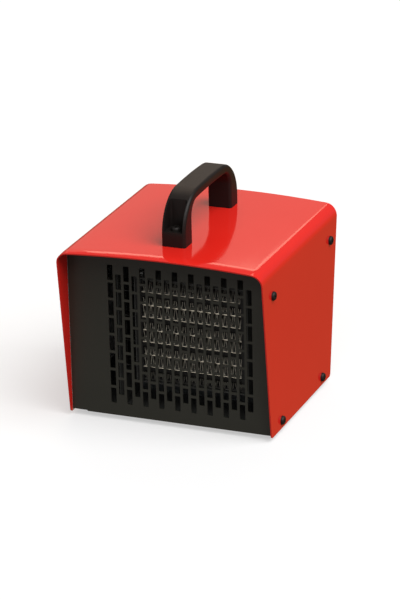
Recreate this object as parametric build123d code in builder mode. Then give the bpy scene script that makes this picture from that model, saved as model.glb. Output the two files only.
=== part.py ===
from build123d import *
import os
from math import cos, radians, sin

os.makedirs("parts", exist_ok=True)

# Ceramic fan heater: a folded steel case with a carrying handle along its top.
# Millimetres, +Z up. Warm air leaves towards -Y, and +X is on the right of someone who faces the grille.
# The origin is on the floor, under the middle of the case.

# Case: one steel cover, folded over a chassis of four sheets
case_width = 200.0
case_depth = 203.0  # over the two top lips
case_height = 168.9  # foot of the wall to the crest of the top
crown_drop = 4.2  # the top falls this much from its crest to the walls
corner_radius = 12.0
front_rake = 20.0  # the front lip stands this far ahead of the foot of the wall
rear_rake = 24.0
wall_corner_radius = 3.0
cover_sheet = 1.2
ground_gap = 4.0  # floor to the foot of the wall
chassis_sheet = 1.0
fit_gap = 0.3  # chassis to the inside of the cover
lip_lift = 0.8  # the chassis lips stand this far above the foot of the wall
fold_radius = 1.5
grille_setback = 3.2  # grille behind the front foot of the wall
rear_setback = 3.0

# Grille: upright slots, every second column half a pitch lower
slot_columns = 18
slot_width = 5.45
slot_height = 14.9
slot_radius = 0.6
slot_web = 2.5
slot_web_z = 2.4
slots_right = 10.9  # middle of the slot field, right of the middle of the case
slot_foot_margin = 13.4  # foot of the wall to the lowest slots
slot_top_margin = 12.0  # least from the topmost slots to the shoulder of the wall
grille_flange = 13.0
flange_inset = 10.0  # flange ends, from the foot and from the shoulder of the wall
lip_depth = 18.0
lip_screw_inset = 10.8
lip_screw_pitch = 72.0
notch_width = 14.5  # relief at the left end of the grille's lower fold
notch_height = 2.0

# Screws
cover_screw_shank = 4.0
cover_screw_head = 8.4
cover_screw_length = 7.0
small_screw_shank = 3.0
small_screw_head = 6.0
small_screw_length = 5.0
head_ratio = 0.36  # head height over head diameter
head_round_ratio = 0.6  # edge radius over head height
recess_depth_ratio = 0.55  # over head height
recess_width_ratio = 0.14  # over head diameter
recess_length_ratio = 0.56
hole_gap = 0.25  # round a screw in the sheet it clamps
thread_gap = 0.05  # round a screw in the sheet it bites
upper_screw_drop = 6.2  # below the tops of the folded flanges
lower_screw_z = 8.0  # above the foot of the wall
grille_screw_y = 4.3  # behind the face of the grille
rear_screw_y = 4.5  # behind the face of the rear panel
base_screw_front = 26.5  # behind the front foot of the wall
base_screw_rear = 23.5
base_flange = 16.0

# Feet
foot_diameter = 16.0
foot_taper = 8.0  # degrees
foot_side_inset = 18.0
foot_end_inset = 30.0
foot_edge_radius = 1.0
foot_recess = 2.5

# Handle: a moulded bow with a screw well in the outside of each leg
handle_right = 1.8  # middle of the handle, right of the middle of the case
handle_length = 134.0
handle_width = 23.4
handle_height = 48.0
handle_shoulder = 44.5  # height of the bow's top at its ends, before rounding
handle_leg = 19.0
handle_grip = 9.5
grip_arch = 1.5  # rise of the underside of the grip
handle_outer_radius = 37.0
handle_inner_radius = 14.0
handle_edge_radius = 3.0
well_wall = 2.8
well_floor = 14.0
well_corner_radius = 2.5
handle_screw_shank = 5.0
handle_screw_head = 9.5
washer_diameter = 14.0
washer_sheet = 1.2
nut_height = 4.0
nut_across = 8.0
nut_tail = 1.5  # screw past the nut
seat_gap = 0.05  # flat washers under the crowned top

# Heating block: four ceramic layers between corrugated aluminium fins
heater_right = 17.5  # middle of the block, right of the middle of the case
heater_up = 84.5  # middle of the block, above the foot of the wall
heater_width = 97.0
heater_depth = 16.0
heater_behind = 14.0  # front of the fins behind the face of the grille
heater_layers = 4
fin_height = 10.2
fin_pitch = 4.04
fin_sheet = 0.4
fin_crest = 1.1
fin_bend = 0.3  # the inside of a crest is narrower by this at each side
stone_thickness = 2.2
stone_gap = 0.6
stones_per_layer = 4
electrode_sheet = 0.5
strip_proud = 1.0  # electrodes and separators stand this far out of the fins, front and back
ledge_reach = 2.0  # the upper electrodes go on this far in front, between the end frames
ledge_end_gap = 0.5
separator_sheet = 0.8
terminal_width = 6.0
terminal_inset = 4.8  # middle of a terminal, in from the front or the back of the fins
terminal_length = 14.0
frame_width = 6.0
frame_rim = 1.3  # end frames over the block, top and bottom
frame_proud = 2.0  # end frames over the block, front and back
frame_groove = 1.2
groove_gap = 0.1
bus_sheet = 0.8
bus_width = 4.8

# Air path
duct_sheet = 0.8
duct_flange = 8.0
duct_ahead = 1.0  # duct ahead of the end frames
bulkhead_behind = 64.3  # bulkhead behind the face of the grille
bulkhead_drop = 3.0  # tops of the bulkhead and the divider, below the shoulder of the wall
orifice_gap = 3.0  # round the blades
bus_clearance = 3.2  # divider to the bus bars of the heating block
bulkhead_fold = 14.0  # folded foot
bulkhead_screw_reach = 8.4
divider_fold = 8.0
divider_screw_reach = 4.5
bulkhead_screw_pitch = 45.0
divider_screw_pitch = 81.2

# Fan
fan_diameter = 92.0
fan_hub_diameter = 32.0
fan_depth = 18.0
fan_blades = 6
blade_sheet = 1.6
blade_root_pitch = 48.0
blade_tip_pitch = 28.0
blade_root_chord = 19.0
blade_tip_chord = 26.0
fan_gap = 4.0  # hub to bulkhead
hub_nose = 3.0  # closed front of the hub
hub_edge_radius = 5.0

# Motor: shaded pole, one coil
shaft_diameter = 4.0
running_gap = 0.03
rotor_diameter = 23.2
air_gap = 0.4
stack_length = 20.0
stack_width = 48.0
stack_above = 18.0
stack_below = 44.0
limb = 10.0
pole_wall = 5.0  # bore to window
coil_build = 8.5
coil_gap = 0.5  # coil to the side limbs
coil_corner = 3.0
bracket_sheet = 3.0
bracket_height = 14.0
bracket_leg = 8.0
bracket_leg_width = 8.0
boss_diameter = 14.0
boss_length = 4.0
bush_diameter = 8.0
motor_bolt_shank = 3.5
motor_bolt_head = 6.5
bar_sheet = 1.5
bar_height = 18.0
bar_overlap = 5.5  # the bar laps the bulkhead this far at each end of the orifice
tail_length = 2.5  # the shaft ends this far behind its rear bush

# Controls on the rear panel
mode_up = 124.0  # above the foot of the wall
thermostat_up = 82.0
inlet_up = 28.0
control_body = 30.0
control_depth = 22.0
control_corner = 2.0
collar_diameter = 9.5
collar_length = 7.0
spindle_diameter = 6.0
spindle_flat = 1.5
spindle_depth = 9.0
control_nut_across = 14.0
control_nut_height = 3.0
knob_diameter = 30.0
knob_grip_diameter = 25.0
knob_skirt = 3.0
knob_length = 15.5
knob_gap = 0.8
knob_cavity_diameter = 21.0
knob_cavity = 7.5
knob_bore_depth = 4.5
knob_flutes = 18
flute_radius = 1.8
flute_depth = 0.9
pointer_width = 2.4
pointer_height = 1.2
mode_rest = -67.5  # pointer at rest, clockwise from the top as seen from behind
thermostat_rest = -135.0

# Cord inlet: gland with its lock nut
gland_bore = 8.0
gland_thread = 12.0
gland_flange = 18.0
gland_flange_height = 3.0
gland_dome = 8.0
gland_dome_start = 15.0
gland_dome_end = 12.5
gland_nut_across = 17.0
gland_nut_height = 4.0
gland_tail = 2.0  # thread past the nut

# Rear air inlet
inlet_columns = 13
inlet_rows = 7

# Small electrical pieces
block_width = 22.0
block_depth = 34.0
block_height = 14.0
block_poles = 3
block_pitch = 10.0
block_row = 7.3  # rows of ways, from the middle of the block
block_way_depth = 7.0
block_screw_pitch = 24.0
block_way = 5.0
block_behind = 14.0  # behind the middle of the case
cutout_diameter = 15.0
cutout_height = 9.0
cutout_foot = 28.0
cutout_foot_width = 12.0
cutout_foot_radius = 4.0
lead_diameter = 2.6
lead_gap = 0.4  # round a lead in the divider
lead_bend = 14.0
bridge_rise = 9.0  # the bridge between the controls leaves each this far off its middle
bridge_reach = 18.0
motor_lead_z = 50.0
lead_spread = 10.0  # between the two heater leads at the switch

# Places that follow from the sizes
half_width = case_width / 2
inner_half = half_width - cover_sheet
chassis_half = inner_half - fit_gap
foot_z = ground_gap
crest_z = foot_z + case_height
shoulder_z = crest_z - crown_drop
front_foot_y = -case_depth / 2 + front_rake
rear_foot_y = case_depth / 2 - rear_rake
grille_y = front_foot_y + grille_setback
rear_y = rear_foot_y - rear_setback
lip_z = foot_z + lip_lift
base_z = lip_z + chassis_sheet
floor_z = base_z + chassis_sheet
flange_low_z = foot_z + flange_inset
flange_high_z = shoulder_z - corner_radius - flange_inset

REARWARD = (0, 1, 0)
FRONTWARD = (0, -1, 0)


def upright(y, x=0.0, z=0.0):
    """Plane across the case at y: its x runs along X and its y runs up."""
    return Plane(origin=(x, y, z), x_dir=(1, 0, 0), z_dir=FRONTWARD)


def case_section(inset, bottom):
    """The case seen from the front, brought in by inset, from bottom up to the crowned top."""
    half = half_width - inset
    side_z = shoulder_z - inset
    with BuildSketch(Plane.XZ) as section:
        with BuildLine():
            Polyline((half, side_z), (half, bottom), (-half, bottom), (-half, side_z))
            ThreePointArc((-half, side_z), (0, crest_z - inset), (half, side_z))
        make_face()
        fillet(section.vertices().group_by(Axis.Y)[-1], corner_radius - inset)
    return section.sketch


def wall_edge(rake, z):
    """How far a raked wall edge has moved out from its foot at height z."""
    return rake * (z - foot_z) / case_height


def pan_screw(shank, head, length):
    """Cross-recess pan head screw along +Z, with the underside of its head at the origin."""
    head_height = head * head_ratio
    recess_width = head * recess_width_ratio
    recess_length = head * recess_length_ratio
    with BuildPart() as screw:
        Cylinder(head / 2, head_height, align=(Align.CENTER, Align.CENTER, Align.MIN))
        fillet(screw.edges().group_by(Axis.Z)[-1], head_height * head_round_ratio)
        with BuildSketch(Plane.XY.offset(head_height)):
            Rectangle(recess_length, recess_width)
            Rectangle(recess_width, recess_length)
        extrude(amount=-head_height * recess_depth_ratio, mode=Mode.SUBTRACT)
        Cylinder(shank / 2, length, align=(Align.CENTER, Align.CENTER, Align.MAX))
    return screw.part


def spread(count, step):
    """Offsets of count places, step apart, about their middle."""
    return [(index - (count - 1) / 2) * step for index in range(count)]


cover_screw = pan_screw(cover_screw_shank, cover_screw_head, cover_screw_length)
small_screw = pan_screw(small_screw_shank, small_screw_head, small_screw_length)

# Places of the screws through the walls of the cover, as (y, z)
wall_screws = (
    (grille_y + grille_screw_y, flange_high_z - upper_screw_drop),
    (rear_y + rear_screw_y, flange_high_z - upper_screw_drop),
    (front_foot_y + base_screw_front, foot_z + lower_screw_z),
    (rear_foot_y - base_screw_rear, foot_z + lower_screw_z),
)
handle_screw_y = handle_length / 2 - (handle_leg - well_wall) / 2
handle_screw_places = ((handle_right, -handle_screw_y), (handle_right, handle_screw_y))

# Cover: the red sheet over the top and both sides
outer_section = case_section(0, 0)
inner_section = case_section(cover_sheet, -cover_sheet)
with BuildPart() as cover:
    extrude(outer_section, amount=case_depth, both=True)
    extrude(inner_section, amount=case_depth, both=True, mode=Mode.SUBTRACT)
    with BuildSketch(Plane.YZ) as wall:
        with BuildLine():
            Polyline(
                (front_foot_y, foot_z),
                (rear_foot_y, foot_z),
                (rear_foot_y + rear_rake, crest_z),
                (front_foot_y - front_rake, crest_z),
                close=True,
            )
        make_face()
        fillet(wall.vertices().group_by(Axis.Y)[0], wall_corner_radius)
    extrude(amount=case_width, both=True, mode=Mode.INTERSECT)
    with BuildSketch(Plane.YZ):
        with Locations(*wall_screws):
            Circle(cover_screw_shank / 2 + hole_gap)
    extrude(amount=case_width, both=True, mode=Mode.SUBTRACT)
    with BuildSketch(Plane.XY.offset(crest_z)):
        with Locations(*handle_screw_places):
            Circle(handle_screw_shank / 2 + hole_gap)
    extrude(amount=-crown_drop, mode=Mode.SUBTRACT)
cover.part.label = "cover"
export_step(cover.part, "parts/cover.step")

# Front grille: a black sheet with folded sides and a folded lower lip
panel_section = case_section(cover_sheet + fit_gap, lip_z)
slot_pitch = slot_width + slot_web
slot_pitch_z = slot_height + slot_web_z
slot_reach = shoulder_z - foot_z - slot_foot_margin - slot_top_margin
slot_rows = int((slot_reach + slot_web_z) / slot_pitch_z)  # in the first column, one fewer in the second
slots_z = foot_z + slot_foot_margin + (slot_rows * slot_pitch_z - slot_web_z) / 2
flange_x = chassis_half - chassis_sheet / 2
lip_screw_y = grille_y + lip_screw_inset
lip_screws = [(x, lip_screw_y) for x in spread(3, lip_screw_pitch)]
with BuildPart() as front_grille:
    extrude(panel_section.moved(Location((0, grille_y, 0))), amount=chassis_sheet, dir=REARWARD)
    with BuildSketch(Plane.XY.offset(flange_low_z)):
        with Locations((flange_x, grille_y), (-flange_x, grille_y)):
            Rectangle(chassis_sheet, grille_flange, align=(Align.CENTER, Align.MIN))
    extrude(amount=flange_high_z - flange_low_z)
    with BuildSketch(Plane.XY.offset(lip_z)):
        with Locations((-chassis_half + notch_width, grille_y)):
            Rectangle(2 * chassis_half - notch_width, lip_depth, align=(Align.MIN, Align.MIN))
    extrude(amount=chassis_sheet)
    with BuildSketch(upright(grille_y)):
        with Locations((-chassis_half, lip_z)):
            Rectangle(notch_width, notch_height, align=(Align.MIN, Align.MIN))
    extrude(amount=chassis_sheet, dir=REARWARD, mode=Mode.SUBTRACT)
    fillet(front_grille.edges().filter_by(Axis.X).group_by(Axis.Z)[0].group_by(Axis.Y)[0], fold_radius)
    with BuildSketch(Plane.YZ):
        with Locations(wall_screws[0]):
            Circle(cover_screw_shank / 2 + thread_gap)
    extrude(amount=case_width, both=True, mode=Mode.SUBTRACT)
    with BuildSketch(Plane.XY.offset(lip_z)):
        with Locations(*lip_screws):
            Circle(small_screw_shank / 2 + hole_gap)
    extrude(amount=chassis_sheet, mode=Mode.SUBTRACT)
    with BuildSketch(upright(grille_y)):
        with Locations((slots_right, slots_z)):
            with Locations((-slot_pitch / 2, 0)):
                with GridLocations(2 * slot_pitch, slot_pitch_z, slot_columns // 2, slot_rows):
                    RectangleRounded(slot_width, slot_height, slot_radius)
            with Locations((slot_pitch / 2, 0)):
                with GridLocations(2 * slot_pitch, slot_pitch_z, slot_columns // 2, slot_rows - 1):
                    RectangleRounded(slot_width, slot_height, slot_radius)
    extrude(amount=chassis_sheet, dir=REARWARD, mode=Mode.SUBTRACT)
front_grille.part.label = "front_grille"
export_step(front_grille.part, "parts/front_grille.step")

# Rear panel: air inlet slots, holes for the controls and the cord inlet, sides folded outwards
bulkhead_y = grille_y + bulkhead_behind
heater_x = heater_right
heater_z = foot_z + heater_up
heater_left = heater_x - heater_width / 2
terminal_end = heater_left - frame_width - terminal_length
bus_x = terminal_end - bus_sheet
divider_x = bus_x - bus_clearance - chassis_sheet / 2
controls_x = (divider_x - chassis_sheet / 2 - inner_half) / 2  # midway between the divider and the wall
mode_z = foot_z + mode_up
thermostat_z = foot_z + thermostat_up
inlet_z = foot_z + inlet_up
rear_lip_screws = [(x, rear_y - lip_screw_inset) for x in spread(3, lip_screw_pitch)]
rear_flange_low_z = foot_z + case_height * rear_setback / rear_rake + flange_inset
rear_flange_reach = rear_foot_y - flange_inset
with BuildPart() as rear_panel:
    extrude(panel_section.moved(Location((0, rear_y, 0))), amount=chassis_sheet, dir=FRONTWARD)
    with BuildSketch(Plane.YZ) as flange:
        with BuildLine():
            Polyline(
                (rear_y - chassis_sheet, rear_flange_low_z),
                (rear_y, rear_flange_low_z),
                (rear_flange_reach + wall_edge(rear_rake, flange_high_z), flange_high_z),
                (rear_y - chassis_sheet, flange_high_z),
                close=True,
            )
        make_face()
    extrude(amount=chassis_half, both=True)
    with BuildSketch(Plane.YZ):
        with Locations((rear_y, 0)):
            Rectangle(case_depth, 2 * case_height, align=(Align.MIN, Align.CENTER))
    extrude(amount=chassis_half - chassis_sheet, both=True, mode=Mode.SUBTRACT)
    with BuildSketch(Plane.XY.offset(lip_z)):
        with Locations((0, rear_y)):
            Rectangle(2 * (chassis_half - notch_width), lip_depth, align=(Align.CENTER, Align.MAX))
    extrude(amount=chassis_sheet)
    with BuildSketch(upright(rear_y)):
        with Locations((chassis_half, lip_z)):
            Rectangle(notch_width, notch_height, align=(Align.MAX, Align.MIN))
        with Locations((-chassis_half, lip_z)):
            Rectangle(notch_width, notch_height, align=(Align.MIN, Align.MIN))
    extrude(amount=chassis_sheet, dir=FRONTWARD, mode=Mode.SUBTRACT)
    fillet(rear_panel.edges().filter_by(Axis.X).group_by(Axis.Z)[0].group_by(Axis.Y)[-1], fold_radius)
    with BuildSketch(Plane.YZ):
        with Locations(wall_screws[1]):
            Circle(cover_screw_shank / 2 + thread_gap)
    extrude(amount=case_width, both=True, mode=Mode.SUBTRACT)
    with BuildSketch(Plane.XY.offset(lip_z)):
        with Locations(*rear_lip_screws):
            Circle(small_screw_shank / 2 + hole_gap)
    extrude(amount=chassis_sheet, mode=Mode.SUBTRACT)
    with BuildSketch(upright(rear_y)):
        with Locations((heater_x, heater_z)):
            with GridLocations(2 * slot_pitch, slot_pitch_z, inlet_columns // 2 + 1, inlet_rows):
                RectangleRounded(slot_width, slot_height, slot_radius)
            with GridLocations(2 * slot_pitch, slot_pitch_z, inlet_columns // 2, inlet_rows - 1):
                RectangleRounded(slot_width, slot_height, slot_radius)
        with Locations((controls_x, mode_z), (controls_x, thermostat_z)):
            Circle(collar_diameter / 2 + hole_gap)
        with Locations((controls_x, inlet_z)):
            Circle(gland_thread / 2 + hole_gap)
    extrude(amount=chassis_sheet, dir=FRONTWARD, mode=Mode.SUBTRACT)
rear_panel.part.label = "rear_panel"
export_step(rear_panel.part, "parts/rear_panel.step")

# Base plate: lies on the lips of the grille and the rear panel, with its sides folded up
bulkhead_screws = [(heater_x + x, bulkhead_y + bulkhead_screw_reach) for x in spread(3, bulkhead_screw_pitch)]
divider_screws = [(divider_x - divider_screw_reach, y) for y in spread(2, divider_screw_pitch)]
block_x = (divider_x - divider_fold - chassis_half + chassis_sheet) / 2  # between the foot and the flange
block_y = block_behind
block_screws = [(block_x, block_y + y) for y in spread(2, block_screw_pitch)]
foot_places = [
    (side * (half_width - foot_side_inset), y)
    for y in (front_foot_y + foot_end_inset, rear_foot_y - foot_end_inset)
    for side in (-1, 1)
]
base_front_y = grille_y + chassis_sheet
base_rear_y = rear_y - chassis_sheet
flange_front_y = grille_y + grille_flange + fit_gap
with BuildPart() as base_plate:
    with BuildSketch(Plane.XY.offset(base_z)):
        with Locations((0, base_front_y)):
            Rectangle(2 * chassis_half, base_rear_y - base_front_y, align=(Align.CENTER, Align.MIN))
    extrude(amount=chassis_sheet)
    with BuildSketch(Plane.XY.offset(base_z)):
        with Locations((flange_x, flange_front_y), (-flange_x, flange_front_y)):
            Rectangle(chassis_sheet, base_rear_y - flange_front_y, align=(Align.CENTER, Align.MIN))
    extrude(amount=base_flange)
    with BuildSketch(Plane.YZ):
        with Locations(*wall_screws[2:]):
            Circle(cover_screw_shank / 2 + thread_gap)
    extrude(amount=case_width, both=True, mode=Mode.SUBTRACT)
    with BuildSketch(Plane.XY.offset(base_z)):
        with Locations(*lip_screws, *rear_lip_screws, *foot_places):
            Circle(small_screw_shank / 2 + thread_gap)
        with Locations(*bulkhead_screws, *divider_screws, *block_screws):
            Circle(small_screw_shank / 2 + hole_gap)
    extrude(amount=chassis_sheet, mode=Mode.SUBTRACT)
base_plate.part.label = "base_plate"
export_step(base_plate.part, "parts/base_plate.step")

# Rubber feet: tapered pads, each held up by a screw in a recess
foot_names = ("front_left", "front_right", "rear_left", "rear_right")
for name, (x, y) in zip(foot_names, foot_places):
    foot_plane = Plane(origin=(x, y, 0), z_dir=(0, 0, -1))
    with BuildPart() as rubber_foot:
        with BuildSketch(foot_plane):
            Circle(foot_diameter / 2)
        extrude(amount=-base_z, taper=-foot_taper)
        fillet(rubber_foot.edges().group_by(Axis.Z)[0], foot_edge_radius)
        with Locations(foot_plane):
            CounterBoreHole(
                small_screw_shank / 2 + hole_gap, small_screw_head / 2 + hole_gap, foot_recess, base_z
            )
    rubber_foot.part.label = f"rubber_foot_{name}"
    export_step(rubber_foot.part, f"parts/rubber_foot_{name}.step")

with BuildPart() as foot_screws:
    add([small_screw.moved(Location((x, y, foot_recess), (180, 0, 0))) for x, y in foot_places])
foot_screws.part.label = "foot_screws"
export_step(foot_screws.part, "parts/foot_screws.step")

with BuildPart() as base_screws:
    places = [(x, y, lip_z) for x, y in [*lip_screws, *rear_lip_screws]]
    places += [(x, y, base_z) for x, y in [*bulkhead_screws, *divider_screws, *block_screws]]
    add([small_screw.moved(Location(place, (180, 0, 0))) for place in places])
base_screws.part.label = "base_screws"
export_step(base_screws.part, "parts/base_screws.step")

with BuildPart() as cover_screws:
    for side in (-1, 1):
        add([
            cover_screw.moved(Location((side * half_width, y, z), (0, side * 90, 0))) for y, z in wall_screws
        ])
cover_screws.part.label = "cover_screws"
export_step(cover_screws.part, "parts/cover_screws.step")

# Handle: a plastic bow that stands on the crest of the cover
handle_half = handle_length / 2
leg_inner = handle_half - handle_leg
grip_under = handle_height - handle_grip


def bow_outline(half, side, top, radius):
    """Side view of a bow from the crest of the cover, with a slightly arched top and rounded corners."""
    with BuildSketch(Plane.YZ.offset(handle_right)) as outline:
        with BuildLine():
            Polyline((half, crest_z + side), (half, crest_z), (-half, crest_z), (-half, crest_z + side))
            ThreePointArc((-half, crest_z + side), (0, crest_z + top), (half, crest_z + side))
        make_face()
        fillet(outline.vertices().group_by(Axis.Y)[-1], radius)
    return outline.sketch


bow_outer = bow_outline(handle_half, handle_shoulder, handle_height, handle_outer_radius)
bow_inner = bow_outline(leg_inner, grip_under - grip_arch, grip_under, handle_inner_radius)
well_length = handle_leg - well_wall
with BuildPart() as handle:
    extrude(bow_outer, amount=handle_width / 2, both=True)
    extrude(bow_inner, amount=handle_width / 2, both=True, mode=Mode.SUBTRACT)
    bow_edges = handle.faces().filter_by(Axis.X).edges()
    long_edges = bow_edges.filter_by(lambda edge: edge.center().Z > crest_z + handle_edge_radius)
    fillet(long_edges, handle_edge_radius)
    with BuildSketch(Plane.XY.offset(crest_z + well_floor)):
        with Locations((handle_right, handle_half), (handle_right, -handle_half)):
            RectangleRounded(handle_width - 2 * well_wall, 2 * well_length, well_corner_radius)
    extrude(amount=handle_height, mode=Mode.SUBTRACT)
    with BuildSketch(Plane.XY.offset(crest_z)):
        with Locations(*handle_screw_places):
            Circle(handle_screw_shank / 2 + hole_gap)
    extrude(amount=well_floor, mode=Mode.SUBTRACT)
handle.part.label = "handle"
export_step(handle.part, "parts/handle.step")

washer_z = crest_z - cover_sheet - seat_gap - washer_sheet
nut_z = washer_z - nut_height
handle_screw = pan_screw(handle_screw_shank, handle_screw_head, crest_z + well_floor - nut_z + nut_tail)
with BuildPart() as handle_screws:
    for x, y in handle_screw_places:
        add(handle_screw.moved(Location((x, y, crest_z + well_floor))))
handle_screws.part.label = "handle_screws"
export_step(handle_screws.part, "parts/handle_screws.step")

with BuildPart() as handle_washers:
    with BuildSketch(Plane.XY.offset(washer_z)):
        with Locations(*handle_screw_places):
            Circle(washer_diameter / 2)
            Circle(handle_screw_shank / 2 + hole_gap, mode=Mode.SUBTRACT)
    extrude(amount=washer_sheet)
handle_washers.part.label = "handle_washers"
export_step(handle_washers.part, "parts/handle_washers.step")

with BuildPart() as handle_nuts:
    with BuildSketch(Plane.XY.offset(nut_z)):
        with Locations(*handle_screw_places):
            RegularPolygon(nut_across / 2, 6, major_radius=False)
            Circle(handle_screw_shank / 2 + thread_gap, mode=Mode.SUBTRACT)
    extrude(amount=nut_height)
handle_nuts.part.label = "handle_nuts"
export_step(handle_nuts.part, "parts/handle_nuts.step")

# Heating block: in each layer, ceramic stones between two electrodes, with a corrugated fin above and below
heater_y = grille_y + heater_behind
heater_back_y = heater_y + heater_depth
heater_middle_y = heater_y + heater_depth / 2
layer_pitch = 2 * (fin_height + electrode_sheet) + stone_thickness + separator_sheet
heater_height = heater_layers * layer_pitch + separator_sheet
heater_low_z = heater_z - heater_height / 2
stone_length = (heater_width - (stones_per_layer - 1) * stone_gap) / stones_per_layer
strip_length = heater_width + 2 * (frame_groove - groove_gap)
strip_depth = heater_depth + 2 * strip_proud
ledge_length = heater_width - 2 * ledge_end_gap
terminal_ys = (heater_y + terminal_inset, heater_back_y - terminal_inset)


def fin_outline():
    """Corners of a corrugated strip: along the upper side of the sheet, then back along the lower side."""
    waves = round(heater_width / fin_pitch)
    pitch = heater_width / waves
    wide = fin_crest / 2
    narrow = wide - fin_bend
    upper = [(0, fin_height)]
    lower = [(0, fin_height - fin_sheet)]
    for wave in range(waves):
        start = wave * pitch
        middle = start + pitch / 2
        end = start + pitch
        upper += [(start + wide, fin_height), (middle - narrow, fin_sheet)]
        upper += [(middle + narrow, fin_sheet), (end - wide, fin_height)]
        lower += [(start + narrow, fin_height - fin_sheet), (middle - wide, 0)]
        lower += [(middle + wide, 0), (end - narrow, fin_height - fin_sheet)]
    upper.append((heater_width, fin_height))
    lower.append((heater_width, fin_height - fin_sheet))
    return upper + lower[::-1]


fin_points = fin_outline()
electrode_levels = []
for layer in range(heater_layers):
    number = heater_layers - layer
    low_fin_z = heater_low_z + separator_sheet + layer * layer_pitch
    low_electrode_z = low_fin_z + fin_height
    stone_z = low_electrode_z + electrode_sheet
    high_electrode_z = stone_z + stone_thickness
    high_fin_z = high_electrode_z + electrode_sheet
    electrode_levels += [(low_electrode_z, terminal_ys[0]), (high_electrode_z, terminal_ys[1])]

    with BuildPart() as ptc_fins:
        for z in (low_fin_z, high_fin_z):
            with BuildSketch(upright(heater_y, heater_left, z)):
                with BuildLine():
                    Polyline(*fin_points, close=True)
                make_face()
            extrude(amount=heater_depth, dir=REARWARD)
    ptc_fins.part.label = f"ptc_fins_{number}"
    export_step(ptc_fins.part, f"parts/ptc_fins_{number}.step")

    with BuildPart() as ptc_electrodes:
        for z, terminal_y in electrode_levels[-2:]:
            with BuildSketch(Plane.XY.offset(z)):
                with Locations((heater_x, heater_middle_y)):
                    Rectangle(strip_length, strip_depth)
                with Locations((terminal_end, terminal_y)):
                    Rectangle(heater_left - terminal_end, terminal_width, align=(Align.MIN, Align.CENTER))
            extrude(amount=electrode_sheet)
        with BuildSketch(Plane.XY.offset(high_electrode_z)):
            with Locations((heater_x, heater_y)):
                Rectangle(ledge_length, strip_proud + ledge_reach, align=(Align.CENTER, Align.MAX))
        extrude(amount=electrode_sheet)
    ptc_electrodes.part.label = f"ptc_electrodes_{number}"
    export_step(ptc_electrodes.part, f"parts/ptc_electrodes_{number}.step")

    with BuildPart() as ptc_stones:
        with BuildSketch(Plane.XY.offset(stone_z)):
            with Locations((heater_x, heater_middle_y)):
                with GridLocations(stone_length + stone_gap, 1, stones_per_layer, 1):
                    Rectangle(stone_length, heater_depth)
        extrude(amount=stone_thickness)
    ptc_stones.part.label = f"ptc_stones_{number}"
    export_step(ptc_stones.part, f"parts/ptc_stones_{number}.step")

separator_levels = [heater_low_z + layer * layer_pitch for layer in range(heater_layers + 1)]
with BuildPart() as fin_separators:
    for z in separator_levels:
        with BuildSketch(Plane.XY.offset(z)):
            with Locations((heater_x, heater_middle_y)):
                Rectangle(strip_length, strip_depth)
        extrude(amount=separator_sheet)
fin_separators.part.label = "fin_separators"
export_step(fin_separators.part, "parts/fin_separators.step")

# End frames: moulded cheeks that hold the ends of the electrodes and the separators in grooves
frame_half_z = heater_height / 2 + frame_rim
frame_depth = heater_depth + 2 * frame_proud
frame_screw_x = heater_width / 2 + (frame_width + frame_groove) / 2
for name, side in (("left", -1), ("right", 1)):
    frame_x = heater_x + side * heater_width / 2
    outward = Align.MIN if side > 0 else Align.MAX
    with BuildPart() as heater_frame:
        with BuildSketch(Plane.XY.offset(heater_z - frame_half_z)):
            with Locations((frame_x, heater_middle_y)):
                Rectangle(frame_width, frame_depth, align=(outward, Align.CENTER))
        extrude(amount=2 * frame_half_z)
        with BuildSketch(upright(heater_y - strip_proud - groove_gap)):
            with Locations(*[(frame_x, z - groove_gap) for z in separator_levels]):
                Rectangle(frame_groove, separator_sheet + 2 * groove_gap, align=(outward, Align.MIN))
            with Locations(*[(frame_x, z - groove_gap) for z, _ in electrode_levels]):
                Rectangle(frame_groove, electrode_sheet + 2 * groove_gap, align=(outward, Align.MIN))
        extrude(amount=strip_depth + 2 * groove_gap, dir=REARWARD, mode=Mode.SUBTRACT)
        if side < 0:
            with BuildSketch(Plane.YZ.offset(frame_x)):
                for z, terminal_y in electrode_levels:
                    with Locations((terminal_y, z + electrode_sheet / 2)):
                        Rectangle(terminal_width + 2 * groove_gap, electrode_sheet + 2 * groove_gap)
            extrude(amount=-frame_width, mode=Mode.SUBTRACT)
        pilot_x = heater_x + side * frame_screw_x
        for end in (-1, 1):
            with BuildSketch(Plane.XY.offset(heater_z + end * frame_half_z)):
                with Locations((pilot_x, heater_middle_y)):
                    Circle(small_screw_shank / 2 + thread_gap)
            extrude(amount=-end * small_screw_length, mode=Mode.SUBTRACT)
    heater_frame.part.label = f"heater_frame_{name}"
    export_step(heater_frame.part, f"parts/heater_frame_{name}.step")

# Bus bars: one joins the upper electrodes, one the lower electrodes, at the tips of the terminals
bar_low_z = electrode_levels[0][0] - terminal_width
bar_high_z = electrode_levels[-1][0] + terminal_width
with BuildPart() as heater_bus_bars:
    with BuildSketch(Plane.XY.offset(bar_low_z)):
        with Locations(*[(terminal_end, y) for y in terminal_ys]):
            Rectangle(bus_sheet, bus_width, align=(Align.MAX, Align.CENTER))
    extrude(amount=bar_high_z - bar_low_z)
heater_bus_bars.part.label = "heater_bus_bars"
export_step(heater_bus_bars.part, "parts/heater_bus_bars.step")

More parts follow.
